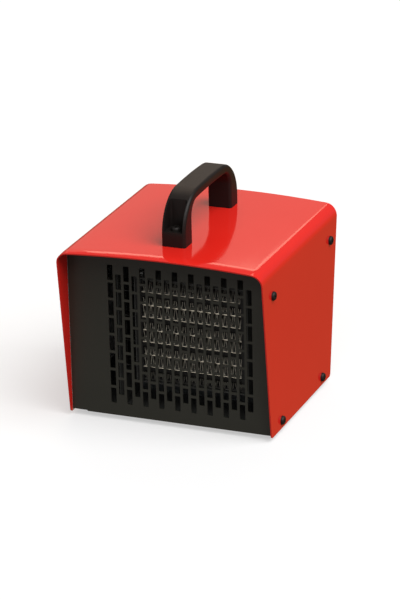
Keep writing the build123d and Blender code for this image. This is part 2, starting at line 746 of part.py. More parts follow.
# Air duct: folded sheet round the heating block, flanged where it meets the bulkhead
duct_half_x = heater_width / 2 + frame_width
duct_y = heater_y - frame_proud - duct_ahead
outer_half_x = duct_half_x + duct_sheet
outer_half_z = frame_half_z + duct_sheet
duct_screws = [
    (heater_x + i * (outer_half_x + duct_flange / 2), heater_z + k * (outer_half_z + duct_flange / 2))
    for i in (-1, 1)
    for k in (-1, 1)
]
cutout_y = (heater_back_y + bulkhead_y) / 2
cutout_screws = [(heater_x + x, cutout_y) for x in spread(2, cutout_foot - small_screw_head)]
frame_screws = [(heater_x + x, heater_middle_y) for x in spread(2, 2 * frame_screw_x)]
with BuildPart() as air_duct:
    with BuildSketch(upright(duct_y, heater_x, heater_z)):
        Rectangle(2 * outer_half_x, 2 * outer_half_z)
    extrude(amount=bulkhead_y - duct_y, dir=REARWARD)
    with BuildSketch(upright(bulkhead_y, heater_x, heater_z)):
        Rectangle(2 * (outer_half_x + duct_flange), 2 * (outer_half_z + duct_flange))
    extrude(amount=duct_sheet, dir=FRONTWARD)
    with BuildSketch(upright(duct_y, heater_x, heater_z)):
        Rectangle(2 * duct_half_x, 2 * frame_half_z)
    extrude(amount=bulkhead_y - duct_y, dir=REARWARD, mode=Mode.SUBTRACT)
    with BuildSketch(Plane.YZ.offset(heater_x - outer_half_x)):
        with Locations((heater_middle_y, heater_z)):
            Rectangle(heater_depth, heater_height - 2 * fin_height)
    extrude(amount=duct_sheet, mode=Mode.SUBTRACT)
    with BuildSketch(upright(bulkhead_y)):
        with Locations(*duct_screws):
            Circle(small_screw_shank / 2 + hole_gap)
    extrude(amount=duct_sheet, dir=FRONTWARD, mode=Mode.SUBTRACT)
    with BuildSketch(Plane.XY.offset(heater_z)):
        with Locations(*frame_screws):
            Circle(small_screw_shank / 2 + hole_gap)
    extrude(amount=outer_half_z, both=True, mode=Mode.SUBTRACT)
    with BuildSketch(Plane.XY.offset(heater_z)):
        with Locations(*cutout_screws):
            Circle(small_screw_shank / 2 + thread_gap)
    extrude(amount=outer_half_z, mode=Mode.SUBTRACT)
air_duct.part.label = "air_duct"
export_step(air_duct.part, "parts/air_duct.step")

# Bulkhead: upright sheet that carries the duct, the fan and its motor
orifice_radius = fan_diameter / 2 + orifice_gap
bar_screw_x = orifice_radius + bar_overlap / 2
bulkhead_left = divider_x + chassis_sheet / 2
bulkhead_width = chassis_half - chassis_sheet - bulkhead_left
bulkhead_height = shoulder_z - bulkhead_drop - floor_z
with BuildPart() as fan_bulkhead:
    with BuildSketch(upright(bulkhead_y, 0, floor_z)) as bulkhead_sheet:
        with Locations((bulkhead_left, 0)):
            Rectangle(bulkhead_width, bulkhead_height, align=(Align.MIN, Align.MIN))
        fillet(bulkhead_sheet.vertices().group_by(Axis.Y)[-1].sort_by(Axis.X)[-1], corner_radius)
        with Locations((heater_x, heater_z - floor_z)):
            Circle(orifice_radius, mode=Mode.SUBTRACT)
            with Locations((bar_screw_x, 0), (-bar_screw_x, 0)):
                Circle(small_screw_shank / 2 + thread_gap, mode=Mode.SUBTRACT)
        with Locations(*[(x, z - floor_z) for x, z in duct_screws]):
            Circle(small_screw_shank / 2 + thread_gap, mode=Mode.SUBTRACT)
    extrude(amount=chassis_sheet, dir=REARWARD)
    with BuildSketch(Plane.XY.offset(floor_z)):
        with Locations((bulkhead_left, bulkhead_y)):
            Rectangle(bulkhead_width, bulkhead_fold, align=(Align.MIN, Align.MIN))
        with Locations(*bulkhead_screws):
            Circle(small_screw_shank / 2 + thread_gap, mode=Mode.SUBTRACT)
    extrude(amount=chassis_sheet)
fan_bulkhead.part.label = "fan_bulkhead"
export_step(fan_bulkhead.part, "parts/fan_bulkhead.step")

# Divider: keeps the wiring side of the case apart from the air side
divider_front_y = grille_y + grille_flange
divider_length = base_rear_y - fit_gap - divider_front_y
heater_lead_z = bar_high_z - terminal_width / 2
lead_holes = [(y, heater_lead_z) for y in terminal_ys]
motor_lead_y = block_y + block_pitch
with BuildPart() as divider:
    with BuildSketch(Plane.YZ.offset(divider_x - chassis_sheet / 2)):
        with Locations((divider_front_y, floor_z)):
            Rectangle(divider_length, bulkhead_height, align=(Align.MIN, Align.MIN))
        with Locations(*lead_holes, (motor_lead_y, motor_lead_z)):
            Circle(lead_diameter / 2 + lead_gap, mode=Mode.SUBTRACT)
    extrude(amount=chassis_sheet)
    with BuildSketch(Plane.XY.offset(floor_z)):
        with Locations((divider_x, divider_front_y)):
            Rectangle(divider_fold, divider_length, align=(Align.MAX, Align.MIN))
        with Locations(*divider_screws):
            Circle(small_screw_shank / 2 + thread_gap, mode=Mode.SUBTRACT)
    extrude(amount=chassis_sheet)
divider.part.label = "divider"
export_step(divider.part, "parts/divider.step")

# Screws that join the inner sheets
bar_y = bulkhead_y + chassis_sheet
bar_back_y = bar_y + bar_sheet
cutout_z = heater_z + outer_half_z
with BuildPart() as chassis_screws:
    places = [Location((x, bulkhead_y - duct_sheet, z), (90, 0, 0)) for x, z in duct_screws]
    places += [Location((x, y, heater_z + outer_half_z)) for x, y in frame_screws]
    places += [Location((x, y, heater_z - outer_half_z), (180, 0, 0)) for x, y in frame_screws]
    places += [Location((x, y, cutout_z + chassis_sheet)) for x, y in cutout_screws]
    for x in (heater_x - bar_screw_x, heater_x + bar_screw_x):
        places.append(Location((x, bar_back_y, heater_z), (-90, 0, 0)))
    add([small_screw.moved(place) for place in places])
chassis_screws.part.label = "chassis_screws"
export_step(chassis_screws.part, "parts/chassis_screws.step")

# Motor bar: a strip across the orifice that carries the motor
bolt_x = stack_width / 2 - limb / 2
bolts = [(bolt_x, 0), (-bolt_x, 0)]
with BuildPart() as motor_bar:
    with BuildSketch(upright(bar_y, heater_x, heater_z)):
        Rectangle(2 * (orifice_radius + bar_overlap), bar_height)
        Circle(boss_diameter / 2, mode=Mode.SUBTRACT)
        with Locations((bar_screw_x, 0), (-bar_screw_x, 0)):
            Circle(small_screw_shank / 2 + hole_gap, mode=Mode.SUBTRACT)
        with Locations(*bolts):
            Circle(motor_bolt_shank / 2 + thread_gap, mode=Mode.SUBTRACT)
    extrude(amount=bar_sheet, dir=REARWARD)
motor_bar.part.label = "motor_bar"
export_step(motor_bar.part, "parts/motor_bar.step")

# Motor: laminated stack with one coil, and a bearing bracket on each side
stack_y = bar_back_y + bracket_sheet + bracket_leg
stack_back_y = stack_y + stack_length
rear_bracket_y = stack_back_y + bracket_leg
bore_radius = rotor_diameter / 2 + air_gap
window_half = stack_width / 2 - limb
window_low = limb - stack_below
window_high = -bore_radius - pole_wall
bush_length = bracket_sheet + boss_length
with BuildPart() as motor_stator:
    with BuildSketch(upright(stack_y, heater_x, heater_z)):
        with Locations((0, -stack_below)):
            Rectangle(stack_width, stack_above + stack_below, align=(Align.CENTER, Align.MIN))
        Circle(bore_radius, mode=Mode.SUBTRACT)
        with Locations((0, window_low)):
            Rectangle(
                2 * window_half, window_high - window_low, align=(Align.CENTER, Align.MIN), mode=Mode.SUBTRACT
            )
        with Locations(*bolts):
            Circle(motor_bolt_shank / 2 + hole_gap, mode=Mode.SUBTRACT)
    extrude(amount=stack_length, dir=REARWARD)
motor_stator.part.label = "motor_stator"
export_step(motor_stator.part, "parts/motor_stator.step")

coil_half = window_half - coil_gap
with BuildPart() as motor_coil:
    with BuildSketch(Plane.YZ.offset(heater_x - coil_half)):
        with Locations((stack_y + stack_length / 2, heater_z - stack_below + limb / 2)):
            RectangleRounded(stack_length + 2 * coil_build, limb + 2 * coil_build, coil_corner)
            Rectangle(stack_length, limb, mode=Mode.SUBTRACT)
    extrude(amount=2 * coil_half)
motor_coil.part.label = "motor_coil"
export_step(motor_coil.part, "parts/motor_coil.step")

for name, outer_y, inward in (
    ("front", bar_back_y, REARWARD),
    ("rear", rear_bracket_y + bracket_sheet, FRONTWARD),
):
    with BuildPart() as motor_bracket:
        with BuildSketch(upright(outer_y, heater_x, heater_z)):
            Rectangle(2 * bolt_x + bracket_leg_width, bracket_height)
        extrude(amount=bracket_sheet, dir=inward)
        with BuildSketch(upright(outer_y, heater_x, heater_z)):
            with Locations(*bolts):
                Rectangle(bracket_leg_width, bracket_height)
        extrude(amount=bracket_sheet + bracket_leg, dir=inward)
        with BuildSketch(upright(outer_y, heater_x, heater_z)):
            Circle(boss_diameter / 2)
        extrude(amount=bush_length, dir=inward)
        with BuildSketch(upright(outer_y, heater_x, heater_z)):
            Circle(bush_diameter / 2 + running_gap)
            with Locations(*bolts):
                Circle(motor_bolt_shank / 2 + hole_gap)
        extrude(amount=bracket_sheet + bracket_leg, dir=inward, mode=Mode.SUBTRACT)
    motor_bracket.part.label = f"motor_bracket_{name}"
    export_step(motor_bracket.part, f"parts/motor_bracket_{name}.step")

with BuildPart() as motor_bushes:
    for y in (bar_back_y, rear_bracket_y - boss_length):
        with BuildSketch(upright(y, heater_x, heater_z)):
            Circle(bush_diameter / 2)
            Circle(shaft_diameter / 2 + running_gap, mode=Mode.SUBTRACT)
        extrude(amount=bush_length, dir=REARWARD)
motor_bushes.part.label = "motor_bushes"
export_step(motor_bushes.part, "parts/motor_bushes.step")

bolt_head_y = rear_bracket_y + bracket_sheet
motor_bolt = pan_screw(motor_bolt_shank, motor_bolt_head, bolt_head_y - bar_y + bar_sheet)
with BuildPart() as motor_bolts:
    for x, z in bolts:
        add(motor_bolt.moved(Location((heater_x + x, bolt_head_y, heater_z + z), (-90, 0, 0))))
motor_bolts.part.label = "motor_bolts"
export_step(motor_bolts.part, "parts/motor_bolts.step")

# Turning set: shaft, rotor and fan
hub_back_y = bulkhead_y - fan_gap
hub_front_y = hub_back_y - fan_depth
shaft_front_y = hub_front_y + hub_nose
shaft_back_y = bolt_head_y + tail_length
with BuildPart() as motor_shaft:
    with BuildSketch(upright(shaft_front_y, heater_x, heater_z)):
        Circle(shaft_diameter / 2)
    extrude(amount=shaft_back_y - shaft_front_y, dir=REARWARD)
motor_shaft.part.label = "motor_shaft"
export_step(motor_shaft.part, "parts/motor_shaft.step")

with BuildPart() as rotor_core:
    with BuildSketch(upright(stack_y, heater_x, heater_z)):
        Circle(rotor_diameter / 2)
        Circle(shaft_diameter / 2 + running_gap, mode=Mode.SUBTRACT)
    extrude(amount=stack_length, dir=REARWARD)
rotor_core.part.label = "rotor_core"
export_step(rotor_core.part, "parts/rotor_core.step")


def blade_plane(angle, radius, pitch):
    """Plane across a fan blade at a radius, turned to the blade's pitch there."""
    along = (cos(radians(angle)), 0, sin(radians(angle)))
    swing = cos(radians(pitch))
    chord_dir = (-sin(radians(angle)) * swing, sin(radians(pitch)), cos(radians(angle)) * swing)
    middle_y = (hub_front_y + hub_back_y) / 2
    origin = (heater_x + along[0] * radius, middle_y, heater_z + along[2] * radius)
    return Plane(origin=origin, x_dir=chord_dir, z_dir=along)


blade_root = fan_hub_diameter / 2 - hub_nose
with BuildPart() as fan_impeller:
    with BuildSketch(upright(hub_back_y, heater_x, heater_z)):
        Circle(fan_hub_diameter / 2)
    extrude(amount=fan_depth, dir=FRONTWARD)
    fillet(fan_impeller.edges().group_by(Axis.Y)[0], hub_edge_radius)
    for blade in range(fan_blades):
        blade_angle = 360 / fan_blades * blade
        with BuildSketch(blade_plane(blade_angle, blade_root, blade_root_pitch)):
            Rectangle(blade_root_chord, blade_sheet)
        with BuildSketch(blade_plane(blade_angle, fan_diameter / 2, blade_tip_pitch)):
            Rectangle(blade_tip_chord, blade_sheet)
        loft()
    with BuildSketch(upright(hub_back_y, heater_x, heater_z)):
        Circle(fan_diameter / 2)
    extrude(amount=fan_depth, dir=FRONTWARD, mode=Mode.INTERSECT)
    with BuildSketch(upright(hub_back_y, heater_x, heater_z)):
        Circle(shaft_diameter / 2 + running_gap)
    extrude(amount=fan_depth - hub_nose, dir=FRONTWARD, mode=Mode.SUBTRACT)
fan_impeller.part.label = "fan_impeller"
export_step(fan_impeller.part, "parts/fan_impeller.step")

# Controls: a rotary switch and a thermostat, each with a spindle, a nut and a knob behind the rear panel
panel_in_y = rear_y - chassis_sheet
collar_end_y = panel_in_y + collar_length
knob_y = rear_y + knob_gap
cavity_end_y = knob_y + knob_cavity
spindle_y = panel_in_y - spindle_depth
spindle_end_y = cavity_end_y + knob_bore_depth
knob_face_y = knob_y + knob_length


def spindle_section(gap):
    """Round spindle with a flat on its upper side, grown by gap."""
    radius = spindle_diameter / 2 + gap
    with BuildSketch() as section:
        Circle(radius)
        with Locations((0, spindle_diameter / 2 - spindle_flat + gap)):
            Rectangle(2 * radius, radius, align=(Align.CENTER, Align.MIN), mode=Mode.SUBTRACT)
    return section.sketch


def pointed(y, z, rest):
    """Upright plane at a control, turned so that its own up is where the pointer rests."""
    turned_x = (cos(radians(rest)), 0, sin(radians(rest)))
    return Plane(origin=(controls_x, y, z), x_dir=turned_x, z_dir=FRONTWARD)


for body_name, knob_name, control_z, rest in (
    ("mode_switch", "mode", mode_z, mode_rest),
    ("thermostat", "thermostat", thermostat_z, thermostat_rest),
):
    with BuildPart() as control:
        with BuildSketch(upright(panel_in_y, controls_x, control_z)):
            RectangleRounded(control_body, control_body, control_corner)
        extrude(amount=control_depth, dir=FRONTWARD)
        with BuildSketch(upright(panel_in_y, controls_x, control_z)):
            Circle(collar_diameter / 2)
        extrude(amount=collar_length, dir=REARWARD)
        with BuildSketch(upright(spindle_y, controls_x, control_z)):
            Circle(spindle_diameter / 2 + running_gap)
        extrude(amount=collar_end_y - spindle_y, dir=REARWARD, mode=Mode.SUBTRACT)
    control.part.label = body_name
    export_step(control.part, f"parts/{body_name}.step")

    with BuildPart() as spindle:
        with BuildSketch(pointed(spindle_y, control_z, rest)):
            Circle(spindle_diameter / 2)
        extrude(amount=collar_end_y - spindle_y, dir=REARWARD)
        with BuildSketch(pointed(collar_end_y, control_z, rest)):
            add(spindle_section(0))
        extrude(amount=spindle_end_y - collar_end_y, dir=REARWARD)
    spindle.part.label = f"{knob_name}_spindle"
    export_step(spindle.part, f"parts/{knob_name}_spindle.step")

    with BuildPart() as knob:
        with BuildSketch(upright(knob_y, controls_x, control_z)):
            Circle(knob_diameter / 2)
        extrude(amount=knob_skirt, dir=REARWARD)
        with BuildSketch(upright(knob_y, controls_x, control_z)):
            Circle(knob_grip_diameter / 2)
            with PolarLocations(knob_grip_diameter / 2 + flute_radius - flute_depth, knob_flutes):
                Circle(flute_radius, mode=Mode.SUBTRACT)
        extrude(amount=knob_length, dir=REARWARD)
        with BuildSketch(pointed(knob_face_y, control_z, rest)):
            Rectangle(pointer_width, knob_grip_diameter / 2 - flute_depth, align=(Align.CENTER, Align.MIN))
        extrude(amount=pointer_height, dir=REARWARD)
        with BuildSketch(upright(knob_y, controls_x, control_z)):
            Circle(knob_cavity_diameter / 2)
        extrude(amount=knob_cavity, dir=REARWARD, mode=Mode.SUBTRACT)
        with BuildSketch(pointed(cavity_end_y, control_z, rest)):
            add(spindle_section(running_gap))
        extrude(amount=knob_bore_depth, dir=REARWARD, mode=Mode.SUBTRACT)
    knob.part.label = f"{knob_name}_knob"
    export_step(knob.part, f"parts/{knob_name}_knob.step")

with BuildPart() as control_nuts:
    with BuildSketch(upright(rear_y)):
        with Locations((controls_x, mode_z), (controls_x, thermostat_z)):
            RegularPolygon(control_nut_across / 2, 6, major_radius=False)
            Circle(collar_diameter / 2 + thread_gap, mode=Mode.SUBTRACT)
    extrude(amount=control_nut_height, dir=REARWARD)
control_nuts.part.label = "control_nuts"
export_step(control_nuts.part, "parts/control_nuts.step")

# Cord inlet: a gland through the rear panel, held by a lock nut inside
gland_thread_length = chassis_sheet + gland_nut_height + gland_tail
gland_end_y = rear_y + gland_flange_height + gland_dome
with BuildPart() as cord_gland:
    with BuildSketch(upright(rear_y, controls_x, inlet_z)):
        Circle(gland_flange / 2)
    extrude(amount=gland_flange_height, dir=REARWARD)
    with BuildSketch(upright(rear_y + gland_flange_height, controls_x, inlet_z)):
        Circle(gland_dome_start / 2)
    with BuildSketch(upright(gland_end_y, controls_x, inlet_z)):
        Circle(gland_dome_end / 2)
    loft()
    with BuildSketch(upright(rear_y, controls_x, inlet_z)):
        Circle(gland_thread / 2)
    extrude(amount=gland_thread_length, dir=FRONTWARD)
    with BuildSketch(upright(gland_end_y, controls_x, inlet_z)):
        Circle(gland_bore / 2)
    extrude(amount=gland_end_y - rear_y + gland_thread_length, dir=FRONTWARD, mode=Mode.SUBTRACT)
cord_gland.part.label = "cord_gland"
export_step(cord_gland.part, "parts/cord_gland.step")

with BuildPart() as gland_nut:
    with BuildSketch(upright(panel_in_y, controls_x, inlet_z)):
        RegularPolygon(gland_nut_across / 2, 6, major_radius=False)
        Circle(gland_thread / 2 + thread_gap, mode=Mode.SUBTRACT)
    extrude(amount=gland_nut_height, dir=FRONTWARD)
gland_nut.part.label = "gland_nut"
export_step(gland_nut.part, "parts/gland_nut.step")

# Terminal block on the base plate and thermal cut-out on the duct
block_top_z = floor_z + block_height
with BuildPart() as terminal_block:
    with BuildSketch(Plane.XY.offset(floor_z)):
        with Locations((block_x, block_y)):
            Rectangle(block_width, block_depth)
    extrude(amount=block_height)
    with BuildSketch(Plane.XY.offset(block_top_z)):
        with Locations((block_x, block_y)):
            for row in (-1, 1):
                with Locations((row * block_row, 0)):
                    with GridLocations(1, block_pitch, 1, block_poles):
                        Circle(block_way / 2)
    extrude(amount=-block_way_depth, mode=Mode.SUBTRACT)
    with BuildSketch(Plane.XY.offset(floor_z)):
        with Locations(*block_screws):
            Circle(small_screw_shank / 2 + thread_gap)
    extrude(amount=small_screw_length, mode=Mode.SUBTRACT)
terminal_block.part.label = "terminal_block"
export_step(terminal_block.part, "parts/terminal_block.step")

with BuildPart() as thermal_cutout:
    with BuildSketch(Plane.XY.offset(cutout_z)):
        with Locations((heater_x, cutout_y)):
            RectangleRounded(cutout_foot, cutout_foot_width, cutout_foot_radius)
        with Locations(*cutout_screws):
            Circle(small_screw_shank / 2 + hole_gap, mode=Mode.SUBTRACT)
    extrude(amount=chassis_sheet)
    with BuildSketch(Plane.XY.offset(cutout_z)):
        with Locations((heater_x, cutout_y)):
            Circle(cutout_diameter / 2)
    extrude(amount=cutout_height)
thermal_cutout.part.label = "thermal_cutout"
export_step(thermal_cutout.part, "parts/thermal_cutout.step")

# Leads: insulated wires with wide bends between the electrical pieces
control_front_y = panel_in_y - control_depth


def lead_path(corners, bend):
    """Wire path through the corners, rounded with the given bend."""
    with BuildLine() as path:
        FilletPolyline(*corners, radius=bend)
    return path.line


def lead_start(corners):
    """Plane square to the first run of a lead."""
    return Plane(origin=corners[0], z_dir=Vector(*corners[1]) - Vector(*corners[0]))


with BuildPart() as heater_leads:
    for lead_x, lead_y in (
        (controls_x + lead_spread / 2, terminal_ys[1]),
        (controls_x - lead_spread / 2, terminal_ys[0]),
    ):
        corners = (
            (lead_x, control_front_y, heater_lead_z),
            (lead_x, lead_y, heater_lead_z),
            (bus_x, lead_y, heater_lead_z),
        )
        with BuildSketch(lead_start(corners)):
            Circle(lead_diameter / 2)
        sweep(path=lead_path(corners, lead_bend))
heater_leads.part.label = "heater_leads"
export_step(heater_leads.part, "parts/heater_leads.step")

lead_runs = {
    "motor_lead": (
        (heater_x - coil_half, motor_lead_y, motor_lead_z),
        (block_x, motor_lead_y, motor_lead_z),
        (block_x, motor_lead_y, block_top_z),
    ),
    "supply_lead": (
        (block_x, block_y, block_top_z),
        (block_x, block_y, thermostat_z),
        (block_x, control_front_y, thermostat_z),
    ),
    "bridge_lead": (
        (controls_x, control_front_y, thermostat_z + bridge_rise),
        (controls_x, control_front_y - bridge_reach, thermostat_z + bridge_rise),
        (controls_x, control_front_y - bridge_reach, mode_z - bridge_rise),
        (controls_x, control_front_y, mode_z - bridge_rise),
    ),
}
for name, corners in lead_runs.items():
    with BuildPart() as lead:
        with BuildSketch(lead_start(corners)):
            Circle(lead_diameter / 2)
        sweep(path=lead_path(corners, bridge_rise if name == "bridge_lead" else lead_bend))
    lead.part.label = name
    export_step(lead.part, f"parts/{name}.step")
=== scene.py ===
import math

import bmesh
import bpy
from mathutils import Matrix, Vector, noise


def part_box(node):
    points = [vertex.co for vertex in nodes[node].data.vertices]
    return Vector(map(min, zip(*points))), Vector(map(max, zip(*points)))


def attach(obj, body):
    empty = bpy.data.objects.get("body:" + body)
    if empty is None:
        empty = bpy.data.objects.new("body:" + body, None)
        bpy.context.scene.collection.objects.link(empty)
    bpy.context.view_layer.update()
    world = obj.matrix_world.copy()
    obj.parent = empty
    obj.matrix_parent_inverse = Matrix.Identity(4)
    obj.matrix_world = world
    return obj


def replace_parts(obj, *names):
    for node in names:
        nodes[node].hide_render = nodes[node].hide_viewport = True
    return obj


# A portable ceramic fan heater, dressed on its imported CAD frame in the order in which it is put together.
# Metres, +Z up. Warm air leaves towards -Y, and +X is on the right of someone who faces the grille.
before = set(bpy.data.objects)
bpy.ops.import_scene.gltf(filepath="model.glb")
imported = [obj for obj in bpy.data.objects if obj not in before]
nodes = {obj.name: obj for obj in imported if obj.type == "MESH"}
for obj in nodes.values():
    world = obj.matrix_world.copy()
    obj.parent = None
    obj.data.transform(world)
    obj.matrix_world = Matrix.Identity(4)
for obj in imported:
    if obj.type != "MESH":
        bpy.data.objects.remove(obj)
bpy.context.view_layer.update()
mm = 0.001

# Base plate and rear panel
# Folded sheets of 1 mm steel that close the case from below and from behind, screwed to each other's lips.
# They are powder coated before they are put together: the base in dark grey, the panel in semi-matt black.


def linear(code):
    """An sRGB hex colour as linear red, green and blue, with full alpha."""
    shares = [int(code[i : i + 2], 16) / 255 for i in (1, 3, 5)]
    return [c / 12.92 if c <= 0.04045 else ((c + 0.055) / 1.055) ** 2.4 for c in shares] + [1.0]


def add_node(tree, kind, inputs=(), **settings):
    """Add a node, set its properties, then fill its sockets or link them to the outputs that are given."""
    made = tree.nodes.new(kind)
    for name, value in settings.items():
        setattr(made, name, value)
    for name, value in dict(inputs).items():
        by_name = [s for s in made.inputs if name in (s.identifier, s.name)]
        socket = by_name[0] if by_name else made.inputs[name]
        if isinstance(value, bpy.types.NodeSocket):
            tree.links.new(value, socket)
        else:
            socket.default_value = value
    return made


def new_finish(name):
    """An empty node material, with its tree and the coordinates that its patterns are laid out in."""
    finish = bpy.data.materials.new(name)
    finish.use_nodes = True
    finish.node_tree.nodes.clear()
    place = add_node(finish.node_tree, "ShaderNodeTexCoord").outputs["Object"]
    return finish, finish.node_tree, place


def dress(finish, *names):
    """Give CAD nodes a finish through their own material slots."""
    for name in names:
        for slot in nodes[name].material_slots:
            slot.material = finish


def powder_coat(name, dark, light):
    """Powder coat: a broad soft sheen, broken up by the fine orange peel of grains that melted together."""
    peel_size = 1.2 * mm  # the real peel is about 0.4 mm, drawn coarser so that it shows
    cloud_size = 60 * mm
    finish, tree, place = new_finish(name)
    peel = add_node(tree, "ShaderNodeTexNoise", {"Vector": place, "Scale": 1 / peel_size, "Detail": 3.0})
    cloud = add_node(tree, "ShaderNodeTexNoise", {"Vector": place, "Scale": 1 / cloud_size})
    tones = {"Fac": cloud.outputs["Fac"], "Color1": linear(dark), "Color2": linear(light)}
    tone = add_node(tree, "ShaderNodeMixRGB", tones)
    limits = {"Value": peel.outputs["Fac"], "To Min": 0.42, "To Max": 0.62}
    gloss = add_node(tree, "ShaderNodeMapRange", limits)
    bumps = {"Height": peel.outputs["Fac"], "Distance": 0.05 * mm, "Strength": 0.6}
    bump = add_node(tree, "ShaderNodeBump", bumps)
    skin = {
        "Base Color": tone.outputs["Color"],
        "Roughness": gloss.outputs["Result"],
        "IOR": 1.5,
        "Normal": bump.outputs["Normal"],
    }
    shader = add_node(tree, "ShaderNodeBsdfPrincipled", skin)
    add_node(tree, "ShaderNodeOutputMaterial", {"Surface": shader.outputs["BSDF"]})
    return finish


black_powder = powder_coat("powder_coated_steel_black", "#292820", "#323129")
grey_powder = powder_coat("powder_coated_steel_grey", "#454542", "#50504D")
dress(grey_powder, "base_plate")
dress(black_powder, "rear_panel")

# Rubber feet
# Four tapered feet that keep the steel off the table, each with a screw sunk in its middle.
# They are moulded in black rubber.


def moulded_rubber():
    """Rubber: almost no shine, with a dusty bloom that lightens it in patches."""
    bloom_size = 5 * mm
    grain_size = 0.8 * mm
    finish, tree, place = new_finish("moulded_rubber_black")
    bloom = add_node(tree, "ShaderNodeTexNoise", {"Vector": place, "Scale": 1 / bloom_size, "Detail": 4.0})
    grain = add_node(tree, "ShaderNodeTexNoise", {"Vector": place, "Scale": 1 / grain_size})
    tones = {"Fac": bloom.outputs["Fac"], "Color1": linear("#1D1C1B"), "Color2": linear("#363432")}
    tone = add_node(tree, "ShaderNodeMixRGB", tones)
    bumps = {"Height": grain.outputs["Fac"], "Distance": 0.06 * mm, "Strength": 0.5}
    bump = add_node(tree, "ShaderNodeBump", bumps)
    skin = {
        "Base Color": tone.outputs["Color"],
        "Roughness": 0.82,
        "IOR": 1.52,
        "Normal": bump.outputs["Normal"],
    }
    shader = add_node(tree, "ShaderNodeBsdfPrincipled", skin)
    add_node(tree, "ShaderNodeOutputMaterial", {"Surface": shader.outputs["BSDF"]})
    return finish


dress(moulded_rubber(), *[name for name in nodes if name.startswith("rubber_foot")])

# Foot, base and chassis screws
# Short pan-head screws with a cross recess, driven from outside into extruded holes in the sheets.
# Cold-headed steel, zinc plated, each stopped at its own angle.
small_head = 6.0 * mm
small_shank = 3.0 * mm
small_length = 5.0 * mm
head_height_share = 0.36  # over the diameter of the head
recess_length_share = 0.56
recess_width_share = 0.14
recess_depth_share = 0.55  # over the height of the head
dome_start_share = -0.15  # the head draws in from here up, as a share of its height above its middle
crown_share = 0.5  # the flat top of the head over its diameter
same_spot = 0.001 * mm  # corners within this of each other are one


def loose_solids(name):
    """The separate solids of a CAD node, each as a list of its corners."""
    whole = bmesh.new()
    whole.from_mesh(nodes[name].data)
    bmesh.ops.remove_doubles(whole, verts=whole.verts, dist=same_spot)
    left = set(whole.verts)
    solids = []
    while left:
        front = [left.pop()]
        solid = []
        while front:
            corner = front.pop()
            solid.append(corner.co.copy())
            for edge in corner.link_edges:
                other = edge.other_vert(corner)
                if other in left:
                    left.remove(other)
                    front.append(other)
        solids.append(solid)
    whole.free()
    return solids


def screw_seats(name, head_height):
    """A mesh with a point under the head of each screw of a CAD node, and the way that the head faces."""
    seats = []
    aims = []
    for solid in loose_solids(name):
        low = Vector([min(p[i] for p in solid) for i in range(3)])
        high = Vector([max(p[i] for p in solid) for i in range(3)])
        middle = (low + high) / 2
        length = max(high - low)
        along = list(high - low).index(length)
        wide = max(solid, key=lambda p: (p - middle).length_squared - (p - middle)[along] ** 2)
        aim = Vector((0, 0, 0))
        aim[along] = math.copysign(1, (wide - middle)[along])
        seats.append(middle + aim * (length / 2 - head_height))
        aims.extend(aim)
    points = bpy.data.meshes.new(name + "_seats")
    points.from_pydata(seats, [], [])
    points.attributes.new("aim", "FLOAT_VECTOR", "POINT").data.foreach_set("vector", aims)
    return points


def new_tree(name, inputs):
    """A geometry node tree with named inputs; returns it with the sockets that its nodes read them from."""
    tree = bpy.data.node_groups.new(name, "GeometryNodeTree")
    for label, kind in inputs.items():
        tree.interface.new_socket(label, in_out="INPUT", socket_type="NodeSocket" + kind)
    tree.interface.new_socket("Result", in_out="OUTPUT", socket_type="NodeSocketGeometry")
    return tree, add_node(tree, "NodeGroupInput").outputs


def end_tree(tree, shape, finish):
    """Close a geometry node tree: its instances become real faces, and the faces get their finish."""
    real = add_node(tree, "GeometryNodeRealizeInstances", {"Geometry": shape})
    inked = {"Geometry": real.outputs["Geometry"], "Material": finish}
    done = add_node(tree, "GeometryNodeSetMaterial", inked)
    add_node(tree, "NodeGroupOutput", {"Result": done.outputs["Geometry"]})


